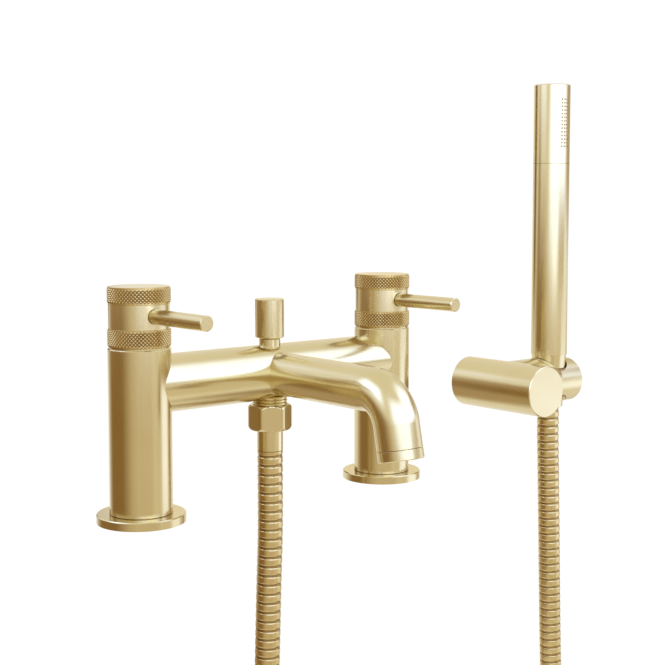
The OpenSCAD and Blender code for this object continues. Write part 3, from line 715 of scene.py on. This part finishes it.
@dataclass
class KnurledGrip:
    """A knurled sleeve of a handle, with rows of small pyramids left by two crossing rollers.

    Args:
        name: name of the piece.
        node: the solid that it stands for.
        body: the body that it turns with.
        axis_x: place of its axis along the crossbar.
        low: height of its lower end.
        high: height of its upper end.
        ceiling: height of the closed top's underside, or None for a ring that is open at both ends.
        crest_r: radius over the pyramids.
        bore_r: radius of its bore.
        depth: height of a pyramid.
        tip_share: width of a pyramid's flat tip, as a share of its foot.
        around: pyramids in one row.
        rim: plain rim at each end.
        sides: faces round the sleeve.
        flat_face: upright share of a face's direction, past which it is a plain brushed end.
    """

    name: str
    node: str
    body: str
    axis_x: float
    low: float
    high: float
    ceiling: float | None = None
    crest_r: float = 17.5
    bore_r: float = 15.1
    depth: float = 0.45
    tip_share: float = 0.3
    around: int = 52
    rim: float = 0.25
    sides: int = 104
    flat_face: float = 0.9

    def outline(self) -> list[tuple[float, float]]:
        """Works out the section of the plain sleeve under the pyramids.

        Returns:
            Radius and height of its points.
        """
        foot_r = self.crest_r - self.depth
        wall = [
            (self.bore_r, self.low),
            (foot_r - self.rim, self.low),
            (foot_r, self.low + self.rim),
            (foot_r, self.high - self.rim),
            (foot_r - self.rim, self.high),
        ]
        if self.ceiling is None:
            return [*wall, (self.bore_r, self.high)]
        return [(0, self.ceiling), (self.bore_r, self.ceiling), *wall, (0, self.high)]

    def nodes(self) -> NodeMaker:
        """Builds the tree that sets the pyramids on the sleeve.

        Returns:
            The tree.
        """
        half_pitch = math.pi * self.crest_r / self.around
        rows = int((self.high - self.low - 2 * self.rim - half_pitch) / half_pitch)
        first = (self.low + self.high - (rows - 1) * half_pitch) / 2
        maker = NodeMaker(f"{self.name}_knurl")
        around = maker.size("Pyramids in a row", self.around)
        row_count = maker.size("Rows", rows)
        row_step = maker.size("Row step", half_pitch * MM)
        first_z = maker.size("First row", first * MM)
        axis_x = maker.size("Axis", self.axis_x * MM)
        foot_r = maker.size("Foot radius", (self.crest_r - self.depth) * MM)
        depth = maker.size("Pyramid height", self.depth * MM)
        tip = maker.size("Tip", half_pitch * self.tip_share * MM)
        index = maker.add("GeometryNodeInputIndex")
        row = maker.row_of(index, around)
        odd_row = maker.add("ShaderNodeMath:MODULO", (row, 2.0))
        stagger = maker.add("ShaderNodeMath:MULTIPLY", (odd_row, 0.5))
        staggered = maker.add("ShaderNodeMath:ADD", (index, stagger))
        share = maker.add("ShaderNodeMath:DIVIDE", (staggered, around))
        turn = maker.add("ShaderNodeMath:MULTIPLY", (share, 2 * math.pi))
        cosine = maker.add("ShaderNodeMath:COSINE", (turn,))
        sine = maker.add("ShaderNodeMath:SINE", (turn,))
        out_x = maker.add("ShaderNodeMath:MULTIPLY", (cosine, foot_r))
        out_y = maker.add("ShaderNodeMath:MULTIPLY", (sine, foot_r))
        spot_x = maker.add("ShaderNodeMath:ADD", (axis_x, out_x))
        above_first = maker.add("ShaderNodeMath:MULTIPLY", (row, row_step))
        spot_z = maker.add("ShaderNodeMath:ADD", (first_z, above_first))
        place = maker.add("ShaderNodeCombineXYZ", (spot_x, out_y, spot_z))
        count = maker.add("ShaderNodeMath:MULTIPLY", (around, row_count))
        spots = maker.add("GeometryNodePoints", {"Count": count, "Position": place})
        pyramid = maker.add(
            "GeometryNodeMeshCone",
            {"Vertices": 4, "Radius Top": tip, "Radius Bottom": row_step, "Depth": depth},
        )
        # Height on each pyramid, which sets its painted shade: darkest at the foot, none at the tip
        point = maker.add("ShaderNodeSeparateXYZ", (maker.add("GeometryNodeInputPosition"),))
        height = maker.add("ShaderNodeMath:DIVIDE", (point.outputs[2], depth))
        marked = maker.add(
            "GeometryNodeStoreNamedAttribute",
            {"Geometry": pyramid, "Name": "knurl_height", "Value": height},
            {"data_type": "FLOAT", "domain": "POINT"},
        )
        euler = maker.add("ShaderNodeCombineXYZ", (0.0, math.pi / 2, turn))
        facing = maker.add("FunctionNodeEulerToRotation", (euler,))
        pyramids = maker.add(
            "GeometryNodeInstanceOnPoints", {"Points": spots, "Instance": marked, "Rotation": facing}
        )
        maker.close(maker.entry, pyramids)
        return maker

    def build(self) -> Object:
        """Makes the grip, which turns with its handle.

        Returns:
            The piece.
        """
        base = lathe_mesh(f"{self.name}_sleeve", self.outline(), self.sides, self.axis_x)
        # The sleeve takes none of the painted shade
        plain = base.attributes.new("knurl_height", "FLOAT", "POINT")
        plain.data.foreach_set("value", [1.0] * len(base.vertices))
        grip = self.nodes().run(self.name, base, KNURLED_BRASS.material(Grain.ALONG_Z))
        grip.data.materials.append(SATIN_BRASS.material(Grain.ALONG_X))
        for face in grip.data.polygons:
            face.material_index = int(abs(face.normal.z) > self.flat_face)
        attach(grip, self.body)
        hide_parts(self.node)
        return grip


@dataclass
class GapRing:
    """A thin brass ring deep in a running gap, so that the gap reads as a fine brown line.

    Args:
        name: name of the piece.
        body: the body that it moves with.
        place: middle of its first face.
        inner_r: radius of its hole.
        outer_r: its outer radius.
        height: its length along its axis.
        to_front: whether its axis points to the front, in place of up.
        sides: faces round the ring.
    """

    name: str
    body: str
    place: tuple[float, float, float]
    inner_r: float
    outer_r: float
    height: float
    to_front: bool = False
    sides: int = 72

    def build(self) -> Object:
        """Makes the ring.

        Returns:
            The piece.
        """
        inner, outer = self.inner_r, self.outer_r
        outline = [(inner, 0), (outer, 0), (outer, self.height), (inner, self.height)]
        mesh = lathe_mesh(self.name, outline, self.sides)
        turn = math.pi / 2 if self.to_front else 0.0
        mesh.transform(Matrix.Translation(Vector(self.place) * MM) @ Matrix.Rotation(turn, 4, "X"))
        mesh.materials.append(SATIN_BRASS.material(Grain.ALONG_Z))
        ring = link_piece(self.name, mesh)
        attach(ring, self.body)
        return ring


@dataclass
class Handle:
    """The dressed pieces of one handle: its two knurled sleeves, and the rings in its gaps.

    Args:
        side: name of its side.
        axis_x: place of its axis along the crossbar.
        pillar_top: height of the pillar under it.
        gap: running gap between the pillar and the handle.
        ring_h: height of the lower knurled ring.
        band_h: height of the plain band.
        cap_h: height of the knurled cap.
        cap_wall: thickness of the cap's top.
        lever_up: height of the lever's axis above the band's lower edge.
        glide_play: play above and below the ring in the running gap.
        glide_r: inner and outer radius of that ring.
        bush_y: distance from the handle's axis to the ring at the lever's root.
        bush_r: inner and outer radius of that ring.
        bush_l: length of that ring.
    """

    side: str
    axis_x: float
    pillar_top: float = 97.3
    gap: float = 0.9
    ring_h: float = 10.1
    band_h: float = 13.6
    cap_h: float = 9.6
    cap_wall: float = 3.5
    lever_up: float = 7.3
    glide_play: float = 0.05
    glide_r: tuple[float, float] = (15.2, 16.9)
    bush_y: float = 14.2
    bush_r: tuple[float, float] = (4.2, 4.45)
    bush_l: float = 1.7

    def build(self) -> list[Object]:
        """Makes the pieces.

        Returns:
            The lower ring, the cap, and the rings in the gaps under the handle and at the lever's root.
        """
        side, body, x = self.side, f"{self.side}_handle", self.axis_x
        low = self.pillar_top + self.gap
        band = low + self.ring_h
        cap = band + self.band_h
        top = cap + self.cap_h
        glide_place = (x, 0, self.pillar_top + self.glide_play)
        glide_h = self.gap - 2 * self.glide_play
        bush_place = (x, -self.bush_y, band + self.lever_up)
        parts = (
            KnurledGrip(f"{side}_knurled_ring", f"{side}_handle_ring", body, x, low, band),
            KnurledGrip(f"{side}_knurled_cap", f"{side}_handle_cap", body, x, cap, top, top - self.cap_wall),
            GapRing(f"{side}_glide_ring", "mixer", glide_place, *self.glide_r, glide_h),
            GapRing(f"{side}_lever_bush", body, bush_place, *self.bush_r, self.bush_l, to_front=True),
        )
        return [part.build() for part in parts]


@dataclass
class HoseNut:
    """The hexagonal nut under the outlet, with rounded corners and turned ends.

    Args:
        low: height of its lower end.
        high: height of its upper end.
        across_flats: width over its flats.
        corner_power: how sharp its corners are.
        end_r: radius of its ends.
        round_low: height of its rounded lower end.
        round_high: height of its rounded upper end.
        stem_r: radius of the hole for the ferrule.
        thread_r: radius of its thread.
        lip: thickness of the lip under the ferrule's flange.
        sides: faces round the nut.
        steps: rings of points from end to end.
    """

    low: float = 41.3
    high: float = 56.7
    across_flats: float = 23.5
    corner_power: float = 24.0
    end_r: float = 10.8
    round_low: float = 4.4
    round_high: float = 3.4
    stem_r: float = 6.9
    thread_r: float = 10.5
    lip: float = 2.2
    sides: int = 144
    steps: int = 28

    def side_radius(self, turn: float, height: float) -> float:
        """Works out the radius of the outside.

        Args:
            turn: angle round the axis in radians.
            height: height above the lower end.

        Returns:
            The radius.
        """
        flats = [math.cos(turn - k * math.pi / 3) for k in range(6)]
        reach = sum(max(c, 0) ** self.corner_power for c in flats) ** (1 / self.corner_power)
        prism = self.across_flats / 2 / reach
        corner_r = self.across_flats / math.sqrt(3)
        below = max(0.0, 1 - height / self.round_low)
        above = max(0.0, 1 - (self.high - self.low - height) / self.round_high)
        dome = self.end_r + (corner_r - self.end_r) * math.sqrt(1 - max(below, above) ** 2)
        return min(prism, dome)

    def build(self) -> Object:
        """Makes the nut.

        Returns:
            The piece.
        """
        count = self.sides
        turns = np.arange(count) * 2 * math.pi / count
        tall = self.high - self.low
        heights = [tall * (1 - math.cos(math.pi * k / self.steps)) / 2 for k in range(self.steps + 1)]
        rings = [[(self.side_radius(t, h), h) for t in turns] for h in heights]
        bore = ((self.thread_r, tall), (self.thread_r, self.lip), (self.stem_r, self.lip), (self.stem_r, 0.0))
        rings += [[corner] * count for corner in bore]
        points = [
            (r * math.cos(t) * MM, r * math.sin(t) * MM, (self.low + h) * MM)
            for ring in rings
            for t, (r, h) in zip(turns, ring)
        ]
        faces = [
            (a * count + i, a * count + (i + 1) % count, b * count + (i + 1) % count, b * count + i)
            for a, b in zip(range(len(rings)), [*range(1, len(rings)), 0])
            for i in range(count)
        ]
        mesh = bpy.data.meshes.new("hex_nut")
        mesh.from_pydata(points, [], faces)
        smooth_faces(mesh)
        mesh.materials.append(SATIN_BRASS.material(Grain.ALONG_Z))
        nut = link_piece("hex_nut", mesh)
        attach(nut, "mixer")
        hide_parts("hose_nut")
        return nut


@dataclass
class Aerator:
    """The honeycomb in the spout's mouth.

    Args:
        bend_y: where the spout's bend starts.
        spout_z: height of the spout's straight run.
        bend_r: radius of the bend.
        bend_turn: angle of the bend in degrees.
        spout_end: length of the straight end below the bend.
        outer_r: radius of the rim.
        inner_r: radius inside the rim.
        recess: depth of the face behind the mouth.
        thickness: thickness of the honeycomb.
        cell: distance from cell to cell.
        wall: wall between two cells.
        cell_rings: rings of cells round the middle one.
        edge_share: distance that a cell's middle keeps from the rim, as a share of the distance of cells.
        sides: faces round the rim.
    """

    bend_y: float = -91.5
    spout_z: float = 76.1
    bend_r: float = 21.0
    bend_turn: float = 78.0
    spout_end: float = 19.2
    outer_r: float = 10.1
    inner_r: float = 9.2
    recess: float = 0.6
    thickness: float = 2.2
    cell: float = 2.0
    wall: float = 0.36
    cell_rings: int = 4
    edge_share: float = 0.3
    sides: int = 64

    def mouth(self) -> Matrix:
        """Works out the place of the mouth.

        Returns:
            The place in metres, with its own Z out of the spout.
        """
        turn = math.radians(self.bend_turn)
        out = Vector((0, -math.cos(turn), -math.sin(turn)))
        middle = Vector((0, self.bend_y, self.spout_z - self.bend_r))
        bend_end = middle + self.bend_r * Vector((0, -math.sin(turn), math.cos(turn)))
        place = Matrix.Translation((bend_end + out * self.spout_end) * MM)
        return place @ Matrix.Rotation(math.pi / 2 + turn, 4, "X")

    def nodes(self) -> NodeMaker:
        """Builds the tree that fills the rim with six-sided cells.

        Returns:
            The tree.
        """
        maker = NodeMaker("honeycomb")
        pitch = maker.size("Cell pitch", self.cell * MM)
        across = maker.size("Cells across", 2 * self.cell_rings + 1)
        reach = maker.size("Reach", (self.inner_r - self.cell * self.edge_share) * MM)
        thickness = maker.size("Thickness", self.thickness * MM)
        back = maker.size("Back face", -(self.recess + self.thickness) * MM)
        wall = maker.size("Wall", self.wall * MM)
        index = maker.add("GeometryNodeInputIndex")
        row = maker.row_of(index, across)
        before_row = maker.add("ShaderNodeMath:MULTIPLY", (row, across))
        column = maker.add("ShaderNodeMath:SUBTRACT", (index, before_row))
        last = maker.add("ShaderNodeMath:SUBTRACT", (across, 1.0))
        middle = maker.add("ShaderNodeMath:MULTIPLY", (last, 0.5))
        up = maker.add("ShaderNodeMath:SUBTRACT", (row, middle))
        off_middle = maker.add("ShaderNodeMath:SUBTRACT", (column, middle))
        row_shift = maker.add("ShaderNodeMath:MULTIPLY", (up, 0.5))
        along = maker.add("ShaderNodeMath:ADD", (off_middle, row_shift))
        cell_x = maker.add("ShaderNodeMath:MULTIPLY", (along, pitch))
        row_y = maker.add("ShaderNodeMath:MULTIPLY", (up, math.sqrt(0.75)))
        cell_y = maker.add("ShaderNodeMath:MULTIPLY", (row_y, pitch))
        place = maker.add("ShaderNodeCombineXYZ", (cell_x, cell_y, back))
        count = maker.add("ShaderNodeMath:MULTIPLY", (across, across))
        spots = maker.add("GeometryNodePoints", {"Count": count, "Position": place})
        flat = maker.add("ShaderNodeCombineXYZ", (cell_x, cell_y, 0.0))
        far = maker.add("ShaderNodeVectorMath:LENGTH", (flat,))
        outside = maker.add("ShaderNodeMath:GREATER_THAN", (far.outputs["Value"], reach))
        kept = maker.add("GeometryNodeDeleteGeometry", {"Geometry": spots, "Selection": outside})
        opening = maker.add("ShaderNodeMath:SUBTRACT", (pitch, wall))
        corner = maker.add("ShaderNodeMath:MULTIPLY", (opening, 1 / math.sqrt(3)))
        hexagon = maker.add("GeometryNodeCurvePrimitiveCircle", {"Resolution": 6, "Radius": corner})
        turned = maker.add("GeometryNodeTransform", {"Geometry": hexagon, "Rotation": (0, 0, math.pi / 6)})
        section = maker.add("GeometryNodeCurvePrimitiveQuadrilateral", (wall, thickness))
        half_thick = maker.add("ShaderNodeMath:MULTIPLY", (thickness, 0.5))
        lift = maker.add("ShaderNodeCombineXYZ", (0.0, half_thick, 0.0))
        lifted = maker.add("GeometryNodeTransform", {"Geometry": section, "Translation": lift})
        cell = maker.add("GeometryNodeCurveToMesh", {"Curve": turned, "Profile Curve": lifted})
        cells = maker.add("GeometryNodeInstanceOnPoints", {"Points": kept, "Instance": cell})
        maker.close(maker.entry, cells)
        return maker

    def build(self) -> Object:
        """Makes the honeycomb in the mouth.

        Returns:
            The piece.
        """
        face, back = -self.recess, -(self.recess + self.thickness)
        rim = [(self.inner_r, back), (self.outer_r, back), (self.outer_r, face), (self.inner_r, face)]
        base = lathe_mesh("aerator_rim", rim, self.sides)
        comb = self.nodes().run("aerator_honeycomb", base, MOULDED_ACETAL.material())
        comb.data.transform(self.mouth())
        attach(comb, "mixer")
        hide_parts("aerator")
        return comb


@dataclass
class PhotoCamera:
    """The camera at the photograph's place.

    Args:
        place: where it stands.
        yaw: its turn from +Y towards +X, in degrees.
        pitch: its tilt down, in degrees.
        focal_px: focal length in pixels of the picture.
        picture_px: width and height of the picture.
        shift_y: shift of the picture, as a share of its height.
        near: distance from which things show.
    """

    place: tuple[float, float, float] = (-459.7, -611.4, 180.3)
    yaw: float = 39.752
    pitch: float = 4.545
    focal_px: float = 1285.4
    picture_px: float = 665.0
    shift_y: float = -0.05
    near: float = 10.0

    def build(self) -> None:
        """Makes the camera and gives it to the scene."""
        data = bpy.data.cameras.new("photo_camera")
        data.sensor_fit = "HORIZONTAL"
        data.lens = data.sensor_width * self.focal_px / self.picture_px
        data.shift_y = self.shift_y
        data.clip_start = self.near * MM
        camera = bpy.data.objects.new("photo_camera", data)
        camera.location = Vector(self.place) * MM
        camera.rotation_euler = Euler((math.radians(90 - self.pitch), 0, -math.radians(self.yaw)))
        bpy.context.scene.collection.objects.link(camera)
        bpy.context.scene.camera = camera


@dataclass(frozen=True)
class StudioPanel:
    """A soft-edged panel of the studio round the object, part of a ball.

    Args:
        name: name of the panel.
        azimuth: its left and right edge in degrees, from the front towards +X, seen from the ball's middle.
        elevation: its lower and upper edge in degrees.
        colour: colour of its light.
        strength: brightness, where 1 is white.
        soft_edge: width of its soft edges in degrees, upright ones first.
        radius: radius of the ball.
        middle: middle of the ball.
        cells: faces along each side of the panel.
        lights: whether it lights matt surfaces, in place of being mirrored.
    """

    name: str
    azimuth: tuple[float, float]
    elevation: tuple[float, float]
    colour: str
    strength: float = 1.0
    soft_edge: tuple[float, float] = (12.0, 10.0)
    radius: float = 790.0
    middle: tuple[float, float, float] = (70.0, -20.0, 60.0)
    cells: int = 24
    lights: bool = False

    def mesh(self, nearer: float) -> Mesh:
        """Makes the panel's mesh, with the share of its glow at each point.

        Args:
            nearer: how far the panel stands inside its ball.

        Returns:
            The mesh.
        """
        shares = np.linspace(0, 1, self.cells + 1)
        u, v = np.meshgrid(shares, shares)
        width = self.azimuth[1] - self.azimuth[0]
        height = self.elevation[1] - self.elevation[0]
        azimuth = np.radians(self.azimuth[0] + u * width)
        elevation = np.radians(self.elevation[0] + v * height)
        level = np.cos(elevation)
        way = np.stack((np.sin(azimuth) * level, -np.cos(azimuth) * level, np.sin(elevation)), axis=-1)
        points = (np.array(self.middle) + way * (self.radius - nearer)) * MM
        across = np.minimum(1, np.minimum(u, 1 - u) * width / self.soft_edge[0])
        upright = np.minimum(1, np.minimum(v, 1 - v) * height / self.soft_edge[1])
        row = self.cells + 1
        corners = [a * row + b for a in range(self.cells) for b in range(self.cells)]
        faces = [(c, c + 1, c + row + 1, c + row) for c in corners]
        mesh = bpy.data.meshes.new(self.name)
        mesh.from_pydata(points.reshape(-1, 3).tolist(), [], faces)
        cover = mesh.attributes.new("cover", "FLOAT", "POINT")
        cover.data.foreach_set("value", (across * upright).ravel().tolist())
        return mesh


@dataclass
class Studio:
    """The plain studio: white surround, floor, soft boxes and brown flags.

    Args:
        panel_gap: gap between a panel and the next one over it.
        fill: brightness of the surround for matt surfaces.
        floor_z: height of the floor.
        floor_side: side of the floor.
        floor_colour: colour of the floor's paint.
        floor_glow: brightness of the floor where it stands for the background.
        floor_glow_share: how much of the floor that glow takes, with the shadow in the rest.
    """

    panel_gap: float = 4.0
    fill: float = 0.6
    floor_z: float = -530.0
    floor_side: float = 60000.0
    floor_colour: str = "#E6E5E2"
    floor_glow: float = 1.1
    floor_glow_share: float = 0.86

    def panels(self) -> tuple[StudioPanel, ...]:
        """Lists the panels.

        Returns:
            The panels, each over the ones before it.
        """
        return (
            StudioPanel("key_light", (-37, 50), (5, 60), WHITE, 2.6, lights=True),
            StudioPanel("left_soft_box", (-139, -76), (14, 56), "#B5C8FF", 4.0, (14, 14)),
            StudioPanel("back_left_box", (-172, -142), (16, 42), "#D2DCFF", 1.9, (10, 8)),
            StudioPanel("front_soft_box", (-66, 92), (-4, 48), "#B5C8FF", 4.0, (26, 17)),
            StudioPanel("top_soft_box", (-6, 84), (26, 72), "#B5C8FF", 4.0, (28, 24)),
            StudioPanel("left_halo", (-112, -38), (-46, 8), "#DCCFB8", 1.0, (20, 11)),
            StudioPanel("left_low_flag", (-172, -66), (-46, 11), "#9B7C50", 1.0, (30, 11)),
            StudioPanel("left_high_flag", (-152, -120), (-6, 22), "#B39A78", 1.0, (12, 10)),
            StudioPanel("front_apron", (-60, 14), (-46, 4), "#E3D7C3", 1.0, (14, 10)),
            StudioPanel("right_apron", (4, 52), (-46, 3), "#EFE8DA", 1.0, (12, 10)),
            StudioPanel("right_low_box", (40, 86), (-26, 0), "#D2DCFF", 2.25, (9, 8)),
            StudioPanel("right_flag", (84, 120), (-34, 4), "#E6DCC9", 1.0, (10, 8)),
            StudioPanel("back_right_box", (120, 166), (-28, 26), "#FBF1D6", 1.05, (12, 8)),
            StudioPanel("back_low_flag", (-196, -126), (-56, -20), "#C3AE90", 1.0, (18, 10), 690.0),
            StudioPanel("under_flag", (36, 150), (-68, -46), "#B09570", 1.0, (20, 8), 610.0),
            StudioPanel("back_edge_flag", (162, 197), (-6, 30), "#86653A", 1.0, (10, 8)),
            StudioPanel("side_edge_flag", (50, 128), (3, 32), "#CDBA9F", 1.0, (24, 8)),
            StudioPanel("right_edge_flag", (10, 66), (-1, 11), "#DCCDB0", 1.0, (12, 4)),
            StudioPanel("stripe_box", (-28, 10), (-0.5, 15), "#D2DCFF", 3.2, (10, 4)),
        )

    def build(self) -> None:
        """Makes the surround, the floor and the panels."""
        bpy.context.scene.view_settings.view_transform = "Standard"
        self.make_surround()
        self.make_floor()
        for rank, panel in enumerate(self.panels()):
            self.make_panel(panel, rank * self.panel_gap)

    def seen_ray(self, tree: NodeTree) -> Node:
        """Adds the test for rays that see the background: camera, glossy and transmission rays.

        Args:
            tree: the tree that takes the nodes.

        Returns:
            A node that gives 1 for those rays and 0 for others.
        """
        rays = add_node(tree, "ShaderNodeLightPath").outputs
        shiny = (rays["Is Glossy Ray"], rays["Is Transmission Ray"])
        either = add_node(tree, "ShaderNodeMath:MAXIMUM", shiny)
        return add_node(tree, "ShaderNodeMath:MAXIMUM", (rays["Is Camera Ray"], either))

    def make_surround(self) -> None:
        """Makes the white surround."""
        world = bpy.data.worlds.new("white_studio")
        bpy.context.scene.world = world
        world.use_nodes = True
        tree = world.node_tree
        inputs = {"Factor_Float": self.seen_ray(tree), "A_Float": self.fill, "B_Float": 1.0}
        strength = add_node(tree, "ShaderNodeMix", inputs)
        background = tree.nodes["Background"]
        background.inputs["Color"].default_value = linear_colour(WHITE)
        tree.links.new(strength.outputs[0], background.inputs["Strength"])

    def end_in_glow(
        self, tree: NodeTree, share: Node | NodeSocket, under: Node, colour: str, strength: float
    ) -> None:
        """Ends a material in a glow over another shader.

        Args:
            tree: the material's tree.
            share: node or socket of the glow's share.
            under: the other shader.
            colour: colour of the glow.
            strength: brightness of the glow.
        """
        tree.nodes.remove(tree.nodes["Principled BSDF"])
        glow = add_node(tree, "ShaderNodeEmission", {"Color": linear_colour(colour), "Strength": strength})
        both = add_node(tree, "ShaderNodeMixShader", (share, under, glow))
        tree.links.new(both.outputs[0], tree.nodes["Material Output"].inputs["Surface"])

    def make_floor(self) -> None:
        """Makes the pale floor, which keeps the object's shadow."""
        half = self.floor_side / 2 * MM
        height = self.floor_z * MM
        corners = [(-half, -half, height), (half, -half, height), (half, half, height), (-half, half, height)]
        mesh = bpy.data.meshes.new("floor")
        mesh.from_pydata(corners, [], [(0, 1, 2, 3)])
        made, tree = start_material("matt_white_paint")
        paint = add_node(tree, "ShaderNodeBsdfDiffuse", {"Color": linear_colour(self.floor_colour)})
        share = add_node(tree, "ShaderNodeMath:MULTIPLY", (self.seen_ray(tree), self.floor_glow_share))
        self.end_in_glow(tree, share, paint, WHITE, self.floor_glow)
        mesh.materials.append(made)
        link_piece("floor", mesh)

    def make_panel(self, panel: StudioPanel, nearer: float) -> None:
        """Makes one panel, whose glow fades out at its edge.

        Args:
            panel: the panel.
            nearer: how far it stands inside its ball.
        """
        mesh = panel.mesh(nearer)
        made, tree = start_material(f"{panel.name}_cloth")
        cover = add_node(tree, "ShaderNodeAttribute", settings={"attribute_name": "cover"}).outputs["Fac"]
        clear = add_node(tree, "ShaderNodeBsdfTransparent")
        self.end_in_glow(tree, cover, clear, panel.colour, panel.strength)
        mesh.materials.append(made)
        piece = link_piece(panel.name, mesh)
        piece.visible_camera = False
        piece.visible_shadow = False
        piece.visible_diffuse = panel.lights
        piece.visible_glossy = not panel.lights


# A finish, its grain, and the pieces that have both
Group = tuple[MetalFinish | MouldedFinish, Grain, tuple[str, ...]]


@dataclass
class SolidDressing:
    """Finishes of the solids that show as they are.

    Args:
        on_each_side: groups of the pieces that each side has.
        shared: groups of the other pieces.
    """

    on_each_side: tuple[Group, ...] = (
        (FOOT_SHADOW_BRASS, Grain.ALONG_Z, ("pillar",)),
        (SATIN_BRASS, Grain.ALONG_X, ("foot_flange",)),
        (SATIN_BRASS, Grain.ALONG_Y, ("lever",)),
        (SATIN_BRASS, Grain.ALONG_Z, ("handle_hub",)),
        (RAW_BRASS, Grain.ALONG_Z, ("cartridge",)),
        (TURNED_STEEL, Grain.ALONG_Z, ("spindle", "handle_screw")),
        (LAPPED_ALUMINA, Grain.ALONG_Z, ("fixed_disc", "moving_disc")),
        (NITRILE, Grain.ALONG_Z, ("foot_gasket", "seat_seal")),
    )
    shared: tuple[Group, ...] = (
        (SATIN_BRASS, Grain.ALONG_X, ("crossbar",)),
        (SATIN_BRASS, Grain.ALONG_Y, ("spout", "spout_collar", "bracket_body")),
        (SATIN_BRASS, Grain.ALONG_Z, ("diverter_bush", "diverter_knob", "outlet_spigot")),
        (SATIN_BRASS, Grain.ALONG_Z, ("hose_ferrule", "cone_nut")),
        (SEAM_SHADOW_BRASS, Grain.ALONG_Z, ("handset_shaft", "handset_head")),
        (RAW_BRASS, Grain.ALONG_Z, ("diverter_plug", "bracket_grub_screw", "handset_inlet")),
        (TURNED_STEEL, Grain.ALONG_Z, ("diverter_rod",)),
        (TURNED_STEEL, Grain.ALONG_Y, ("wall_fixing",)),
        (NITRILE, Grain.ALONG_Z, ("aerator_seal", "diverter_seal", "hose_washer", "cone_washer")),
        (TINTED_SILICONE, Grain.ALONG_Z, ("nozzle_plate",)),
        (TINT_AND_SHADE_ACETAL, Grain.ALONG_Z, ("holder_seat",)),
        (MOULDED_ACETAL, Grain.ALONG_Z, ("handset_pipe",)),
    )

    def dress(self, nodes: dict[str, Object]) -> list[Object]:
        """Gives each solid its finish.

        Args:
            nodes: the solids by name.

        Returns:
            The dressed solids.
        """
        finishes = {name: (finish, grain) for finish, grain, names in self.shared for name in names}
        for finish, grain, names in self.on_each_side:
            finishes.update({f"{side}_{name}": (finish, grain) for side in SIDES for name in names})
        for name, (finish, grain) in finishes.items():
            materials = nodes[name].data.materials
            materials.clear()
            materials.append(finish.material(grain))
        return [nodes[name] for name in finishes]


def main() -> None:
    """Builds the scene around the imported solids."""
    logging.basicConfig(level=logging.INFO, format="%(message)s")
    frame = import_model()
    PhotoCamera().build()
    pieces = [HoseNut().build(), ShowerHose().build()]
    for side, axis_x in SIDES.items():
        pieces += Handle(side, axis_x).build()
    pieces.append(Aerator().build())
    pieces += SolidDressing().dress(frame["nodes"])
    for piece in pieces:
        LOG.info("%s: %d faces", piece.name, len(piece.data.polygons))
    Studio().build()


if __name__ == "__main__":
    main()
